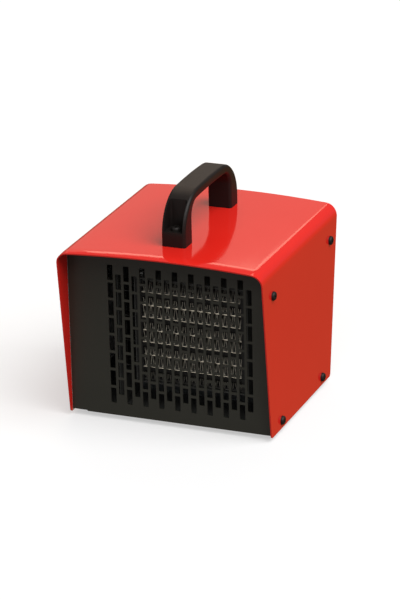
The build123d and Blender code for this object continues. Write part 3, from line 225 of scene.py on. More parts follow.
def pan_screw_tree():
    """A pan-head screw with a cross recess on every point, its head the way that the point's aim says."""
    sizes = ["Head Radius", "Head Height", "Shank Radius", "Shank Length"]
    recess = ["Recess Length", "Recess Width", "Recess Depth"]
    inputs = {"Seats": "Geometry"}
    inputs.update({label: "Float" for label in sizes + recess})
    inputs.update({"Turn Seed": "Int", "Finish": "Material"})
    tree, given = new_tree("pan_screws", inputs)
    # The head is a stack of rings, drawn in over its upper part as a quarter of an ellipse
    rings = {
        "Vertices": 32,
        "Side Segments": 10,
        "Radius": given["Head Radius"],
        "Depth": given["Head Height"],
    }
    blank = add_node(tree, "GeometryNodeMeshCylinder", rings)
    spot = add_node(tree, "GeometryNodeInputPosition").outputs["Position"]
    height = add_node(tree, "ShaderNodeSeparateXYZ", {"Vector": spot}).outputs["Z"]
    share = add_node(tree, "ShaderNodeMath", {0: height, 1: given["Head Height"]}, operation="DIVIDE")
    curved = {"Value": share.outputs["Value"], "From Min": dome_start_share, "From Max": 0.5}
    climb = add_node(tree, "ShaderNodeMapRange", curved).outputs["Result"]
    arch = add_node(tree, "ShaderNodeMath", {0: climb, 1: 2.0}, operation="POWER")
    rest = add_node(tree, "ShaderNodeMath", {0: 1.0, 1: arch.outputs["Value"]}, operation="SUBTRACT")
    quarter = add_node(tree, "ShaderNodeMath", {0: rest.outputs["Value"]}, operation="SQRT")
    drawing_in = {"Value": quarter.outputs["Value"], "To Min": crown_share, "To Max": 1.0}
    narrow = add_node(tree, "ShaderNodeMapRange", drawing_in).outputs["Result"]
    factor = add_node(tree, "ShaderNodeCombineXYZ", {"X": narrow, "Y": narrow, "Z": 1.0}).outputs["Vector"]
    drawn = add_node(tree, "ShaderNodeVectorMath", {0: spot, 1: factor}, operation="MULTIPLY")
    domed = {"Geometry": blank.outputs["Mesh"], "Position": drawn.outputs["Vector"]}
    dome = add_node(tree, "GeometryNodeSetPosition", domed).outputs["Geometry"]
    half = add_node(tree, "ShaderNodeMath", {0: given["Head Height"], 1: 0.5}, operation="MULTIPLY")
    lift = add_node(tree, "ShaderNodeCombineXYZ", {"Z": half.outputs["Value"]}).outputs["Vector"]
    head = add_node(tree, "GeometryNodeTransform", {"Geometry": dome, "Translation": lift})
    # The shank runs from inside the head to its tip
    tip = add_node(tree, "ShaderNodeMath", {0: given["Shank Length"], 1: -1.0}, operation="MULTIPLY")
    end = add_node(tree, "ShaderNodeCombineXYZ", {"Z": tip.outputs["Value"]}).outputs["Vector"]
    core = add_node(tree, "GeometryNodeCurvePrimitiveLine", {"Start": lift, "End": end})
    round_bar = {"Resolution": 20, "Radius": given["Shank Radius"]}
    bar = add_node(tree, "GeometryNodeCurvePrimitiveCircle", round_bar, mode="RADIUS")
    swept = {"Curve": core.outputs["Curve"], "Profile Curve": bar.outputs["Curve"], "Fill Caps": True}
    shank = add_node(tree, "GeometryNodeCurveToMesh", swept)
    welded = {"Mesh 2": head.outputs["Geometry"]}
    body = add_node(tree, "GeometryNodeMeshBoolean", welded, operation="UNION")
    tree.links.new(shank.outputs["Mesh"], body.inputs["Mesh 2"])
    # Two crossed bars are punched into the top of the head
    deep = add_node(tree, "ShaderNodeMath", {0: given["Recess Depth"], 1: 2.0}, operation="MULTIPLY")
    top = add_node(tree, "ShaderNodeCombineXYZ", {"Z": given["Head Height"]}).outputs["Vector"]
    punched = {"Mesh 1": body.outputs["Mesh"]}
    screw = add_node(tree, "GeometryNodeMeshBoolean", punched, operation="DIFFERENCE")
    for along, across in (("Recess Length", "Recess Width"), ("Recess Width", "Recess Length")):
        span = {"X": given[along], "Y": given[across], "Z": deep.outputs["Value"]}
        size = add_node(tree, "ShaderNodeCombineXYZ", span).outputs["Vector"]
        arm = add_node(tree, "GeometryNodeMeshCube", {"Size": size}).outputs["Mesh"]
        placed = add_node(tree, "GeometryNodeTransform", {"Geometry": arm, "Translation": top})
        tree.links.new(placed.outputs["Geometry"], screw.inputs["Mesh 2"])
    # One screw on each seat, turned to where it happened to stop
    aim = add_node(tree, "GeometryNodeInputNamedAttribute", {"Name": "aim"}, data_type="FLOAT_VECTOR")
    aimed = {"Vector": aim.outputs["Attribute"]}
    facing = add_node(tree, "FunctionNodeAlignRotationToVector", aimed, axis="Z")
    chance = {"Min_001": 0.0, "Max_001": math.pi / 2, "Seed": given["Turn Seed"]}
    stop = add_node(tree, "FunctionNodeRandomValue", chance, data_type="FLOAT")
    spin = add_node(tree, "FunctionNodeAxisAngleToRotation", {"Axis": (0, 0, 1), "Angle": stop.outputs[1]})
    turns = {"Rotation": facing.outputs["Rotation"], "Rotate By": spin.outputs["Rotation"]}
    turned = add_node(tree, "FunctionNodeRotateRotation", turns, rotation_space="LOCAL")
    spread = {
        "Points": given["Seats"],
        "Instance": screw.outputs["Mesh"],
        "Rotation": turned.outputs["Rotation"],
    }
    screws = add_node(tree, "GeometryNodeInstanceOnPoints", spread)
    end_tree(tree, screws.outputs["Instances"], given["Finish"])
    return tree


def settle(piece, smooth_angle=35):
    """Make the evaluated piece a plain mesh without modifiers, smooth up to an angle."""
    graph = bpy.context.evaluated_depsgraph_get()
    mesh = bpy.data.meshes.new_from_object(piece.evaluated_get(graph))
    piece.modifiers.clear()
    piece.data = mesh
    if not mesh.has_custom_normals:
        mesh.shade_smooth()
        mesh.set_sharp_from_angle(angle=math.radians(smooth_angle))
    return piece


def new_piece(name, mesh):
    """An object at the origin for a mesh that already lies where it belongs."""
    piece = bpy.data.objects.new(name, mesh)
    bpy.context.scene.collection.objects.link(piece)
    return piece


def grow(name, start, tree, inputs):
    """Run a geometry node tree on a start mesh with its inputs set, and keep the result as a plain mesh."""
    piece = new_piece(name, start)
    modifier = piece.modifiers.new("grow", "NODES")
    modifier.node_group = tree
    for label, value in inputs.items():
        modifier[tree.interface.items_tree[label].identifier] = value
    return settle(piece)


def screw_group(name, head, shank, length, finish):
    """Screws for every solid of a CAD node of screws, which they stand for."""
    height = head * head_height_share
    sizes = {
        "Head Radius": head / 2,
        "Head Height": height,
        "Shank Radius": shank / 2,
        "Shank Length": length,
        "Recess Length": head * recess_length_share,
        "Recess Width": head * recess_width_share,
        "Recess Depth": height * recess_depth_share,
        "Turn Seed": 7,
        "Finish": finish,
    }
    screws = grow(name + "_pan_heads", screw_seats(name, height), pan_screws, sizes)
    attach(screws, "case")
    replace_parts(screws, name)


def zinc_plate():
    """Zinc plating: pale grey metal, dulled by handling, that drifts from a faint blue to a faint yellow."""
    drift_size = 4 * mm
    scuff_size = 0.7 * mm
    finish, tree, place = new_finish("zinc_plated_steel")
    drift = add_node(tree, "ShaderNodeTexNoise", {"Vector": place, "Scale": 1 / drift_size, "Detail": 2.0})
    scuff = add_node(tree, "ShaderNodeTexNoise", {"Vector": place, "Scale": 1 / scuff_size, "Detail": 4.0})
    tones = {"Fac": drift.outputs["Fac"], "Color1": linear("#B9BDC4"), "Color2": linear("#C9C4B4")}
    tone = add_node(tree, "ShaderNodeMixRGB", tones)
    limits = {"Value": scuff.outputs["Fac"], "To Min": 0.25, "To Max": 0.5}
    gloss = add_node(tree, "ShaderNodeMapRange", limits)
    skin = {"Base Color": tone.outputs["Color"], "Metallic": 1.0, "Roughness": gloss.outputs["Result"]}
    shader = add_node(tree, "ShaderNodeBsdfPrincipled", skin)
    add_node(tree, "ShaderNodeOutputMaterial", {"Surface": shader.outputs["BSDF"]})
    return finish


pan_screws = pan_screw_tree()
zinc_steel = zinc_plate()
for screw_node in ("foot_screws", "base_screws", "chassis_screws"):
    screw_group(screw_node, small_head, small_shank, small_length, zinc_steel)

# Air duct, fan bulkhead and divider
# Sheets that lead the air from the fan to the heating block and keep it off the controls.
# Folded from galvanised steel. The duct and the divider, which show through the grille, are coated grey; the
# darker coat is also painted shade, which keeps the inside seen through the grille dark.


def galvanised():
    """Hot-dip zinc: flat grey crystals a few millimetres wide, each with its own tone and shine."""
    spangle_size = 7 * mm
    finish, tree, place = new_finish("galvanised_steel_sheet")
    spangle = add_node(tree, "ShaderNodeTexVoronoi", {"Vector": place, "Scale": 1 / spangle_size})
    grey = add_node(tree, "ShaderNodeRGBToBW", {"Color": spangle.outputs["Color"]})
    tones = {"Fac": grey.outputs["Val"], "Color1": linear("#9A9EA1"), "Color2": linear("#BCC0C2")}
    tone = add_node(tree, "ShaderNodeMixRGB", tones)
    limits = {"Value": grey.outputs["Val"], "To Min": 0.3, "To Max": 0.55}
    gloss = add_node(tree, "ShaderNodeMapRange", limits)
    skin = {"Base Color": tone.outputs["Color"], "Metallic": 1.0, "Roughness": gloss.outputs["Result"]}
    shader = add_node(tree, "ShaderNodeBsdfPrincipled", skin)
    add_node(tree, "ShaderNodeOutputMaterial", {"Surface": shader.outputs["BSDF"]})
    return finish


dress(galvanised(), "fan_bulkhead", "motor_bar")
# The grey coat on the duct and the divider is partly painted shade for the dark inside the case
dress(grey_powder, "air_duct", "divider")

# Heating block
# Four layers of ceramic stones between thin electrodes, with corrugated fins above and below each layer and
# separator plates between the layers. Everything is bonded and held at its ends by two moulded frames.


def rolled_aluminium(name, dark, light, rough, edge_rough, edge_metal):
    """Rolled aluminium: faces streaked along the strip by the rolls, and pale cut faces, which are painted
    highlight.

    Cut faces of a thick strip stay metal, and those of thin fins are not metal; their pale tone is painted
    highlight, which stands for the bright lines along lit edges.
    Left of the end frame the metal is painted a dull near black, which also fades out over the first and the
    last row of the block: painted shade, for the dark inside the case and the shade at the top and the foot
    of the block.
    """
    streak_size = Vector((30, 0.5, 0.5)) * mm
    top_shade_fade = 14 * mm  # how far down the painted shade fades out
    foot_shade_fade = 12 * mm
    block_low, block_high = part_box("fin_separators")
    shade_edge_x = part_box("heater_frame_left")[1].x
    finish, tree, place = new_finish(name)
    stretched = {"Vector": place, "Scale": [1 / size for size in streak_size]}
    stretch = add_node(tree, "ShaderNodeMapping", stretched)
    strokes = {"Vector": stretch.outputs["Vector"], "Scale": 1.0, "Detail": 3.0}
    streak = add_node(tree, "ShaderNodeTexNoise", strokes).outputs["Fac"]
    face_tones = {"Fac": streak, "Color1": linear(dark), "Color2": linear(light)}
    face_tone = add_node(tree, "ShaderNodeMixRGB", face_tones)
    # Cut edges are the faces that look straight out of the front or the back of the block; they get a pale
    # painted highlight
    looks = add_node(tree, "ShaderNodeNewGeometry").outputs["Normal"]
    look_parts = add_node(tree, "ShaderNodeSeparateXYZ", {"Vector": looks})
    straight = add_node(tree, "ShaderNodeMath", {0: look_parts.outputs["Y"]}, operation="ABSOLUTE")
    cut = {"Value": straight.outputs["Value"], "From Min": 0.85, "From Max": 0.95}
    edge = add_node(tree, "ShaderNodeMapRange", cut).outputs["Result"]
    # The pale edge tone is painted highlight
    tones = {"Fac": edge, "Color1": face_tone.outputs["Color"], "Color2": linear("#EAE2D0")}
    tone = add_node(tree, "ShaderNodeMixRGB", tones)
    limits = {"Value": streak, "To Min": rough[0], "To Max": rough[1]}
    face_gloss = add_node(tree, "ShaderNodeMapRange", limits).outputs["Result"]
    glosses = {"Value": edge, "To Min": face_gloss, "To Max": edge_rough}
    gloss = add_node(tree, "ShaderNodeMapRange", glosses)
    spot = add_node(tree, "ShaderNodeSeparateXYZ", {"Vector": place})
    # Painted shade: left of the end frame, and fading in towards the top and the foot of the block
    past_shade_edge = {0: spot.outputs["X"], 1: shade_edge_x}
    right_of = add_node(tree, "ShaderNodeMath", past_shade_edge, operation="GREATER_THAN")
    from_top = {
        "Value": spot.outputs["Z"],
        "From Min": block_high.z,
        "From Max": block_high.z - top_shade_fade,
    }
    below_top = add_node(tree, "ShaderNodeMapRange", from_top)
    from_foot = {
        "Value": spot.outputs["Z"],
        "From Min": block_low.z,
        "From Max": block_low.z + foot_shade_fade,
    }
    above_foot = add_node(tree, "ShaderNodeMapRange", from_foot)
    between = {0: below_top.outputs["Result"], 1: above_foot.outputs["Result"]}
    inner = add_node(tree, "ShaderNodeMath", between, operation="MULTIPLY")
    unshaded_parts = {0: right_of.outputs["Value"], 1: inner.outputs["Value"]}
    unshaded_or_unsprayed = add_node(tree, "ShaderNodeMath", unshaded_parts, operation="MULTIPLY").outputs["Value"]
    # The near black is painted shade, and the shaded parts also lose their metal shine
    painted_shade_mix = {"Fac": unshaded_or_unsprayed, "Color1": linear("#1C1A18"), "Color2": tone.outputs["Color"]}
    painted_shade_tone = add_node(tree, "ShaderNodeMixRGB", painted_shade_mix)
    metals = {"Value": edge, "To Min": 1.0, "To Max": edge_metal}
    metal = add_node(tree, "ShaderNodeMapRange", metals).outputs["Result"]
    shine = add_node(tree, "ShaderNodeMath", {0: unshaded_or_unsprayed, 1: metal}, operation="MULTIPLY").outputs["Value"]
    skin = {"Base Color": painted_shade_tone.outputs["Color"], "Metallic": shine, "Roughness": gloss.outputs["Result"]}
    shader = add_node(tree, "ShaderNodeBsdfPrincipled", skin)
    add_node(tree, "ShaderNodeOutputMaterial", {"Surface": shader.outputs["BSDF"]})
    return finish


def fired_ceramic():
    """Barium titanate ceramic: dull dark grey with a pale speckle of larger grains."""
    speckle_size = 0.6 * mm
    finish, tree, place = new_finish("fired_ptc_ceramic")
    specks = {"Vector": place, "Scale": 1 / speckle_size, "Detail": 5.0}
    speckle = add_node(tree, "ShaderNodeTexNoise", specks)
    contrast = {"Value": speckle.outputs["Fac"], "From Min": 0.35, "From Max": 0.7}
    grain = add_node(tree, "ShaderNodeMapRange", contrast)
    tones = {"Fac": grain.outputs["Result"], "Color1": linear("#2B2826"), "Color2": linear("#4A4541")}
    tone = add_node(tree, "ShaderNodeMixRGB", tones)
    skin = {"Base Color": tone.outputs["Color"], "Roughness": 0.75, "IOR": 1.6}
    shader = add_node(tree, "ShaderNodeBsdfPrincipled", skin)
    add_node(tree, "ShaderNodeOutputMaterial", {"Surface": shader.outputs["BSDF"]})
    return finish


def filled_moulding(name, dark, light, rough):
    """Glass-filled plastic: a matt moulded skin, clouded where the short fibres lie near it."""
    fibre_size = 1.5 * mm
    finish, tree, place = new_finish(name)
    fibre = add_node(tree, "ShaderNodeTexNoise", {"Vector": place, "Scale": 1 / fibre_size, "Detail": 4.0})
    tones = {"Fac": fibre.outputs["Fac"], "Color1": linear(dark), "Color2": linear(light)}
    tone = add_node(tree, "ShaderNodeMixRGB", tones)
    limits = {"Value": fibre.outputs["Fac"], "To Min": rough[0], "To Max": rough[1]}
    gloss = add_node(tree, "ShaderNodeMapRange", limits)
    bumps = {"Height": fibre.outputs["Fac"], "Distance": 0.03 * mm, "Strength": 0.4}
    bump = add_node(tree, "ShaderNodeBump", bumps)
    skin = {
        "Base Color": tone.outputs["Color"],
        "Roughness": gloss.outputs["Result"],
        "IOR": 1.5,
        "Normal": bump.outputs["Normal"],
    }
    shader = add_node(tree, "ShaderNodeBsdfPrincipled", skin)
    add_node(tree, "ShaderNodeOutputMaterial", {"Surface": shader.outputs["BSDF"]})
    return finish


fin_look = {"rough": (0.4, 0.55), "edge_rough": 0.34, "edge_metal": 0.0}
fin_aluminium = rolled_aluminium("rolled_aluminium_fins", "#8B8983", "#A8A69F", **fin_look)
strip_look = {"rough": (0.3, 0.45), "edge_rough": 0.26, "edge_metal": 1.0}
strip_aluminium = rolled_aluminium("bright_rolled_aluminium_strip", "#D8D8D4", "#ECECE9", **strip_look)
ceramic = fired_ceramic()
heat_proof = filled_moulding("glass_filled_nylon_black", "#1B1A19", "#2A2826", rough=(0.5, 0.7))
for layer in ("1", "2", "3", "4"):
    dress(fin_aluminium, "ptc_fins_" + layer)
    dress(strip_aluminium, "ptc_electrodes_" + layer)
    dress(ceramic, "ptc_stones_" + layer)
dress(strip_aluminium, "fin_separators", "heater_bus_bars")
dress(heat_proof, "heater_frame_left", "heater_frame_right")

# Bonding beads and painted shade
# The dark silicone that bonds a layer's stones and electrodes, squeezed out below the upper electrode as an
# uneven bead. It covers the front of the stones and sags over the fins below, and is drawn taller than a
# bead so that it also stands for the shadow that the upper electrode casts: partly painted shade.
# The bead reaches down over the fins as painted shade under the upper electrode
bead_and_shade_height = 6.2 * mm
bead_depth = 1.9 * mm
bead_sag = 0.5 * mm
bead_step = 1.5 * mm
bead_wander = 0.37  # how far the noise that sags a bead moves on from one section to the next
bead_crease = math.radians(50)
# Round the section, as shares of the depth and of the height
bead_profile = ((0, 0), (-0.75, -0.06), (-1.0, -0.35), (-0.9, -0.7), (-0.5, -0.95), (0, -1.0))


def silicone():
    """Silicone adhesive: near black and a little shiny, rippled where it was squeezed out."""
    ripple_size = 3 * mm
    finish, tree, place = new_finish("cured_silicone_black")
    ripples = {"Vector": place, "Scale": 1 / ripple_size, "Detail": 3.0}
    ripple = add_node(tree, "ShaderNodeTexNoise", ripples)
    tones = {"Fac": ripple.outputs["Fac"], "Color1": linear("#161514"), "Color2": linear("#262422")}
    tone = add_node(tree, "ShaderNodeMixRGB", tones)
    bumps = {"Height": ripple.outputs["Fac"], "Distance": 0.2 * mm, "Strength": 0.5}
    bump = add_node(tree, "ShaderNodeBump", bumps)
    skin = {
        "Base Color": tone.outputs["Color"],
        "Roughness": 0.55,
        "IOR": 1.41,
        "Normal": bump.outputs["Normal"],
    }
    shader = add_node(tree, "ShaderNodeBsdfPrincipled", skin)
    add_node(tree, "ShaderNodeOutputMaterial", {"Surface": shader.outputs["BSDF"]})
    return finish


bead_mesh = bmesh.new()
for layer in ("1", "2", "3", "4"):
    stone_low, stone_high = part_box("ptc_stones_" + layer)
    bead_steps = round((stone_high.x - stone_low.x) / bead_step)
    sections = []
    for i in range(bead_steps + 1):
        x = stone_low.x + (stone_high.x - stone_low.x) * i / bead_steps
        height = bead_and_shade_height + bead_sag * noise.noise(Vector((i * bead_wander, 0, int(layer))))
        section = []
        for out, down in bead_profile:
            spot = (x, stone_low.y + out * bead_depth, stone_high.z + down * height)
            section.append(bead_mesh.verts.new(spot))
        sections.append(section)
    bead_mesh.faces.new(sections[0])
    bead_mesh.faces.new(sections[-1])
    for near, far in zip(sections, sections[1:]):
        for k in range(len(near)):
            bead_mesh.faces.new((near[k - 1], near[k], far[k], far[k - 1]))
bmesh.ops.recalc_face_normals(bead_mesh, faces=bead_mesh.faces)
bead_data = bpy.data.meshes.new("silicone_and_shade_beads")
bead_mesh.to_mesh(bead_data)
bead_mesh.free()
bead_data.shade_smooth()
bead_data.set_sharp_from_angle(angle=bead_crease)
bead_data.materials.append(silicone())
beads = new_piece("silicone_and_shade_beads", bead_data)
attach(beads, "case")

# Motor
# A shaded-pole motor on a bar across the bulkhead: a stack of stamped plates with a coil on its lower limb,
# two die-cast brackets that hold bronze bushes, and a ground shaft that carries the rotor and the fan.
wave_length = math.tau / 20  # of a wave texture at a scale of 1


def plate_stack():
    """Motor plates: thin dark edges of blue-grey steel, stacked along the shaft."""
    plate = 1.0 * mm  # the real plates are 0.5 mm, drawn thicker so that they show
    finish, tree, place = new_finish("stacked_silicon_steel")
    bands = {"Vector": place, "Scale": wave_length / plate}
    across = add_node(tree, "ShaderNodeTexWave", bands, bands_direction="Y")
    tones = {"Fac": across.outputs["Fac"], "Color1": linear("#3F4246"), "Color2": linear("#82868A")}
    tone = add_node(tree, "ShaderNodeMixRGB", tones)
    bumps = {"Height": across.outputs["Fac"], "Distance": 0.1 * mm, "Strength": 0.5}
    bump = add_node(tree, "ShaderNodeBump", bumps)
    skin = {
        "Base Color": tone.outputs["Color"],
        "Metallic": 1.0,
        "Roughness": 0.48,
        "Normal": bump.outputs["Normal"],
    }
    shader = add_node(tree, "ShaderNodeBsdfPrincipled", skin)
    add_node(tree, "ShaderNodeOutputMaterial", {"Surface": shader.outputs["BSDF"]})
    return finish


def cast_metal(name, dark, light, grain_size, rough):
    """Cast or sintered metal: a granular satin skin without direction."""
    finish, tree, place = new_finish(name)
    grain = add_node(tree, "ShaderNodeTexNoise", {"Vector": place, "Scale": 1 / grain_size, "Detail": 4.0})
    tones = {"Fac": grain.outputs["Fac"], "Color1": linear(dark), "Color2": linear(light)}
    tone = add_node(tree, "ShaderNodeMixRGB", tones)
    limits = {"Value": grain.outputs["Fac"], "To Min": rough[0], "To Max": rough[1]}
    gloss = add_node(tree, "ShaderNodeMapRange", limits)
    bumps = {"Height": grain.outputs["Fac"], "Distance": 0.05 * mm, "Strength": 0.5}
    bump = add_node(tree, "ShaderNodeBump", bumps)
    skin = {
        "Base Color": tone.outputs["Color"],
        "Metallic": 1.0,
        "Roughness": gloss.outputs["Result"],
        "Normal": bump.outputs["Normal"],
    }
    shader = add_node(tree, "ShaderNodeBsdfPrincipled", skin)
    add_node(tree, "ShaderNodeOutputMaterial", {"Surface": shader.outputs["BSDF"]})
    return finish


dress(plate_stack(), "motor_stator", "rotor_core")
die_cast = cast_metal("die_cast_aluminium", "#9C9C98", "#BDBDB9", grain_size=1.2 * mm, rough=(0.4, 0.6))
dress(die_cast, "motor_bracket_front", "motor_bracket_rear")
bronze = cast_metal("sintered_bronze", "#7E5B2E", "#B58A4C", grain_size=0.5 * mm, rough=(0.35, 0.55))
dress(bronze, "motor_bushes")
ground_steel = cast_metal("ground_steel_shaft", "#AFAFAF", "#CFCFCF", grain_size=0.4 * mm, rough=(0.15, 0.3))
dress(ground_steel, "motor_shaft")
dress(zinc_steel, "motor_bolts")

# Motor coil
# Enamelled copper wire, wound side by side round the lower limb of the stack between a bobbin's cheeks.
# The bobbin is moulded in white nylon, and the last layer of wire lies open.
wire = 0.9 * mm  # the real wire is about 0.25 mm, drawn thicker so that the turns show
cheek = 1.2 * mm
coil_corner = 3.0 * mm
limb_height = 10.0 * mm
limb_depth = 20.0 * mm
limb_clearance = 0.3 * mm
bobbin_wall = 0.8 * mm


def winding_tree():
    """One closed turn of wire for each point of a row, all of one rounded oblong."""
    inputs = {"Row": "Geometry", "Turn Width": "Float", "Turn Height": "Float", "Corner Radius": "Float"}
    inputs.update({"Wire Radius": "Float", "Finish": "Material"})
    tree, given = new_tree("coil_winding", inputs)
    oblong = {"Width": given["Turn Width"], "Height": given["Turn Height"]}
    turn = add_node(tree, "GeometryNodeCurvePrimitiveQuadrilateral", oblong)
    corners = {"Curve": turn.outputs["Curve"], "Count": 5, "Radius": given["Corner Radius"]}
    rounded = add_node(tree, "GeometryNodeFilletCurve", corners, mode="POLY")
    section = {"Resolution": 8, "Radius": given["Wire Radius"]}
    round_wire = add_node(tree, "GeometryNodeCurvePrimitiveCircle", section, mode="RADIUS")
    swept = {"Curve": rounded.outputs["Curve"], "Profile Curve": round_wire.outputs["Curve"]}
    tube = add_node(tree, "GeometryNodeCurveToMesh", swept)
    # The oblong is drawn in XY and stood up across the limb, which runs along X
    upright = add_node(tree, "GeometryNodeTransform", {"Geometry": tube.outputs["Mesh"]})
    upright.inputs["Rotation"].default_value = (math.pi / 2, 0, math.pi / 2)
    turns = {"Points": given["Row"], "Instance": upright.outputs["Geometry"]}
    row = add_node(tree, "GeometryNodeInstanceOnPoints", turns)
    end_tree(tree, row.outputs["Instances"], given["Finish"])
    return tree


def enamelled_copper():
    """Enamelled wire: deep orange metal under a clear varnish that stays glossy."""
    varnish_size = 2 * mm
    finish, tree, place = new_finish("enamelled_copper_wire")
    patches = {"Vector": place, "Scale": 1 / varnish_size, "Detail": 2.0}
    varnish = add_node(tree, "ShaderNodeTexNoise", patches)
    tones = {"Fac": varnish.outputs["Fac"], "Color1": linear("#8E4A22"), "Color2": linear("#B86A33")}
    tone = add_node(tree, "ShaderNodeMixRGB", tones)
    skin = {"Base Color": tone.outputs["Color"], "Metallic": 1.0, "Roughness": 0.32, "Coat Weight": 0.6}
    shader = add_node(tree, "ShaderNodeBsdfPrincipled", skin)
    add_node(tree, "ShaderNodeOutputMaterial", {"Surface": shader.outputs["BSDF"]})
    return finish


def ring_block(mesh, low, high, hole):
    """Add a block with an oblong hole along X: hole is its width in Y and its height in Z."""
    middle = (low + high) / 2
    hole_low = (middle.y - hole[0] / 2, middle.z - hole[1] / 2)
    hole_high = (middle.y + hole[0] / 2, middle.z + hole[1] / 2)
    rings = []
    for x in (low.x, high.x):
        for near, far in ((low.yz, high.yz), (hole_low, hole_high)):
            loop = [(near[0], near[1]), (far[0], near[1]), (far[0], far[1]), (near[0], far[1])]
            rings.append([mesh.verts.new((x, y, z)) for y, z in loop])
    # Outside, inside and the two ends
    for a, b in ((0, 2), (3, 1), (1, 0), (2, 3)):
        for i in range(4):
            j = (i + 1) % 4
            mesh.faces.new((rings[a][i], rings[a][j], rings[b][j], rings[b][i]))


coil_low, coil_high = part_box("motor_coil")
coil_middle = (coil_low + coil_high) / 2
bobbin_mesh = bmesh.new()
window = (limb_depth + 2 * limb_clearance, limb_height + 2 * limb_clearance)
core_half = Vector((0, window[0] / 2 + bobbin_wall, window[1] / 2 + bobbin_wall))
ring_block(bobbin_mesh, coil_low, Vector((coil_low.x + cheek, coil_high.y, coil_high.z)), window)
ring_block(bobbin_mesh, Vector((coil_high.x - cheek, coil_low.y, coil_low.z)), coil_high, window)
core_low = coil_middle - core_half
core_high = coil_middle + core_half
core_low.x = coil_low.x + cheek
core_high.x = coil_high.x - cheek
ring_block(bobbin_mesh, core_low, core_high, window)
bmesh.ops.recalc_face_normals(bobbin_mesh, faces=bobbin_mesh.faces)
bobbin_data = bpy.data.meshes.new("coil_bobbin")
bobbin_mesh.to_mesh(bobbin_data)
bobbin_mesh.free()
bobbin = new_piece("coil_bobbin", bobbin_data)
white_nylon = filled_moulding("moulded_nylon_white", "#D8D5CB", "#E6E3DA", rough=(0.4, 0.55))
bobbin_data.materials.append(white_nylon)
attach(bobbin, "case")

turn_count = int((coil_high.x - coil_low.x - 2 * cheek) / wire)
row_start = coil_middle.x - (turn_count - 1) * wire / 2
row_mesh = bpy.data.meshes.new("coil_row")
row_mesh.from_pydata([(row_start + i * wire, *coil_middle.yz) for i in range(turn_count)], [], [])
turn_sizes = {
    "Turn Width": coil_high.y - coil_low.y - 2 * wire,
    "Turn Height": coil_high.z - coil_low.z - 2 * wire,
    "Corner Radius": coil_corner,
    "Wire Radius": wire / 2,
    "Finish": enamelled_copper(),
}
winding = grow("coil_winding", row_mesh, winding_tree(), turn_sizes)
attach(winding, "case")
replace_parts(winding, "motor_coil")

# Fan
# A six-bladed axial fan on the front end of the shaft.
# Moulded in one piece from dark glass-filled plastic that stands the heat behind the block.
fan_plastic = filled_moulding("glass_filled_fan_plastic", "#2A2A2A", "#393939", rough=(0.4, 0.55))
dress(fan_plastic, "fan_impeller")

# Terminal block, thermal cut-out, leads and cord gland
# The wiring behind the divider: screw terminals on the base plate, a bimetal cut-out on the duct, and
# stranded leads in woven glass sleeves. The gland in the rear panel clamps the supply cord.


def woven_sleeve():
    """Varnished glass-fibre sleeve: charcoal, with a tight diagonal weave of dull silky yarns."""
    yarn = 1.2 * mm  # the real yarns are about 0.4 mm wide, drawn coarser so that they show
    finish, tree, place = new_finish("woven_glass_sleeve")
    heights = []
    for lean in (45, -45):
        turn = add_node(tree, "ShaderNodeMapping", {"Vector": place})
        turn.inputs["Rotation"].default_value = (math.radians(lean), 0, math.radians(lean))
        bands = {"Vector": turn.outputs["Vector"], "Scale": wave_length / yarn}
        heights.append(add_node(tree, "ShaderNodeTexWave", bands).outputs["Fac"])
    weave = add_node(tree, "ShaderNodeMath", {0: heights[0], 1: heights[1]}, operation="MAXIMUM")
    tones = {"Fac": weave.outputs["Value"], "Color1": linear("#26241F"), "Color2": linear("#4A4741")}
    tone = add_node(tree, "ShaderNodeMixRGB", tones)
    bumps = {"Height": weave.outputs["Value"], "Distance": 0.15 * mm, "Strength": 0.6}
    bump = add_node(tree, "ShaderNodeBump", bumps)
    skin = {
        "Base Color": tone.outputs["Color"],
        "Roughness": 0.6,
        "IOR": 1.5,
        "Normal": bump.outputs["Normal"],
    }
    shader = add_node(tree, "ShaderNodeBsdfPrincipled", skin)
    add_node(tree, "ShaderNodeOutputMaterial", {"Surface": shader.outputs["BSDF"]})
    return finish


dress(heat_proof, "terminal_block")
dress(woven_sleeve(), "heater_leads", "motor_lead", "supply_lead", "bridge_lead")
phenolic = filled_moulding("moulded_phenolic_brown", "#2A1D17", "#3A2A21", rough=(0.3, 0.45))
dress(phenolic, "thermal_cutout", "mode_switch", "thermostat")
dress(heat_proof, "cord_gland", "gland_nut")

# Controls
# A rotary switch and a thermostat behind the rear panel, each with a spindle, a nut and a fluted knob.
# The knobs are moulded in black plastic and pressed on; a white line is inked on each pointer.
knob_round = 0.4 * mm
pointer_top = 0.2 * mm  # faces this near the knob's outer end that look outwards are the pointer's top
outward_share = 0.9


def moulded_plastic():
    """Spark-eroded mould skin: near black, with a soft sheen that its fine even grain spreads widely."""
    grain_size = 0.9 * mm  # the real grain is about 0.2 mm, drawn coarser so that it shows
    cloud_size = 25 * mm
    finish, tree, place = new_finish("moulded_polypropylene_black")
    grain = add_node(tree, "ShaderNodeTexNoise", {"Vector": place, "Scale": 1 / grain_size, "Detail": 2.0})
    cloud = add_node(tree, "ShaderNodeTexNoise", {"Vector": place, "Scale": 1 / cloud_size})
    tones = {"Fac": cloud.outputs["Fac"], "Color1": linear("#171211"), "Color2": linear("#1F1917")}
    tone = add_node(tree, "ShaderNodeMixRGB", tones)
    limits = {"Value": grain.outputs["Fac"], "To Min": 0.36, "To Max": 0.52}
    gloss = add_node(tree, "ShaderNodeMapRange", limits)
    bumps = {"Height": grain.outputs["Fac"], "Distance": 0.04 * mm, "Strength": 0.5}
    bump = add_node(tree, "ShaderNodeBump", bumps)
    skin = {
        "Base Color": tone.outputs["Color"],
        "Roughness": gloss.outputs["Result"],
        "IOR": 1.49,
        "Specular IOR Level": 0.25,  # the grain shades part of its own gloss
        "Normal": bump.outputs["Normal"],
    }
    shader = add_node(tree, "ShaderNodeBsdfPrincipled", skin)
    add_node(tree, "ShaderNodeOutputMaterial", {"Surface": shader.outputs["BSDF"]})
    return finish


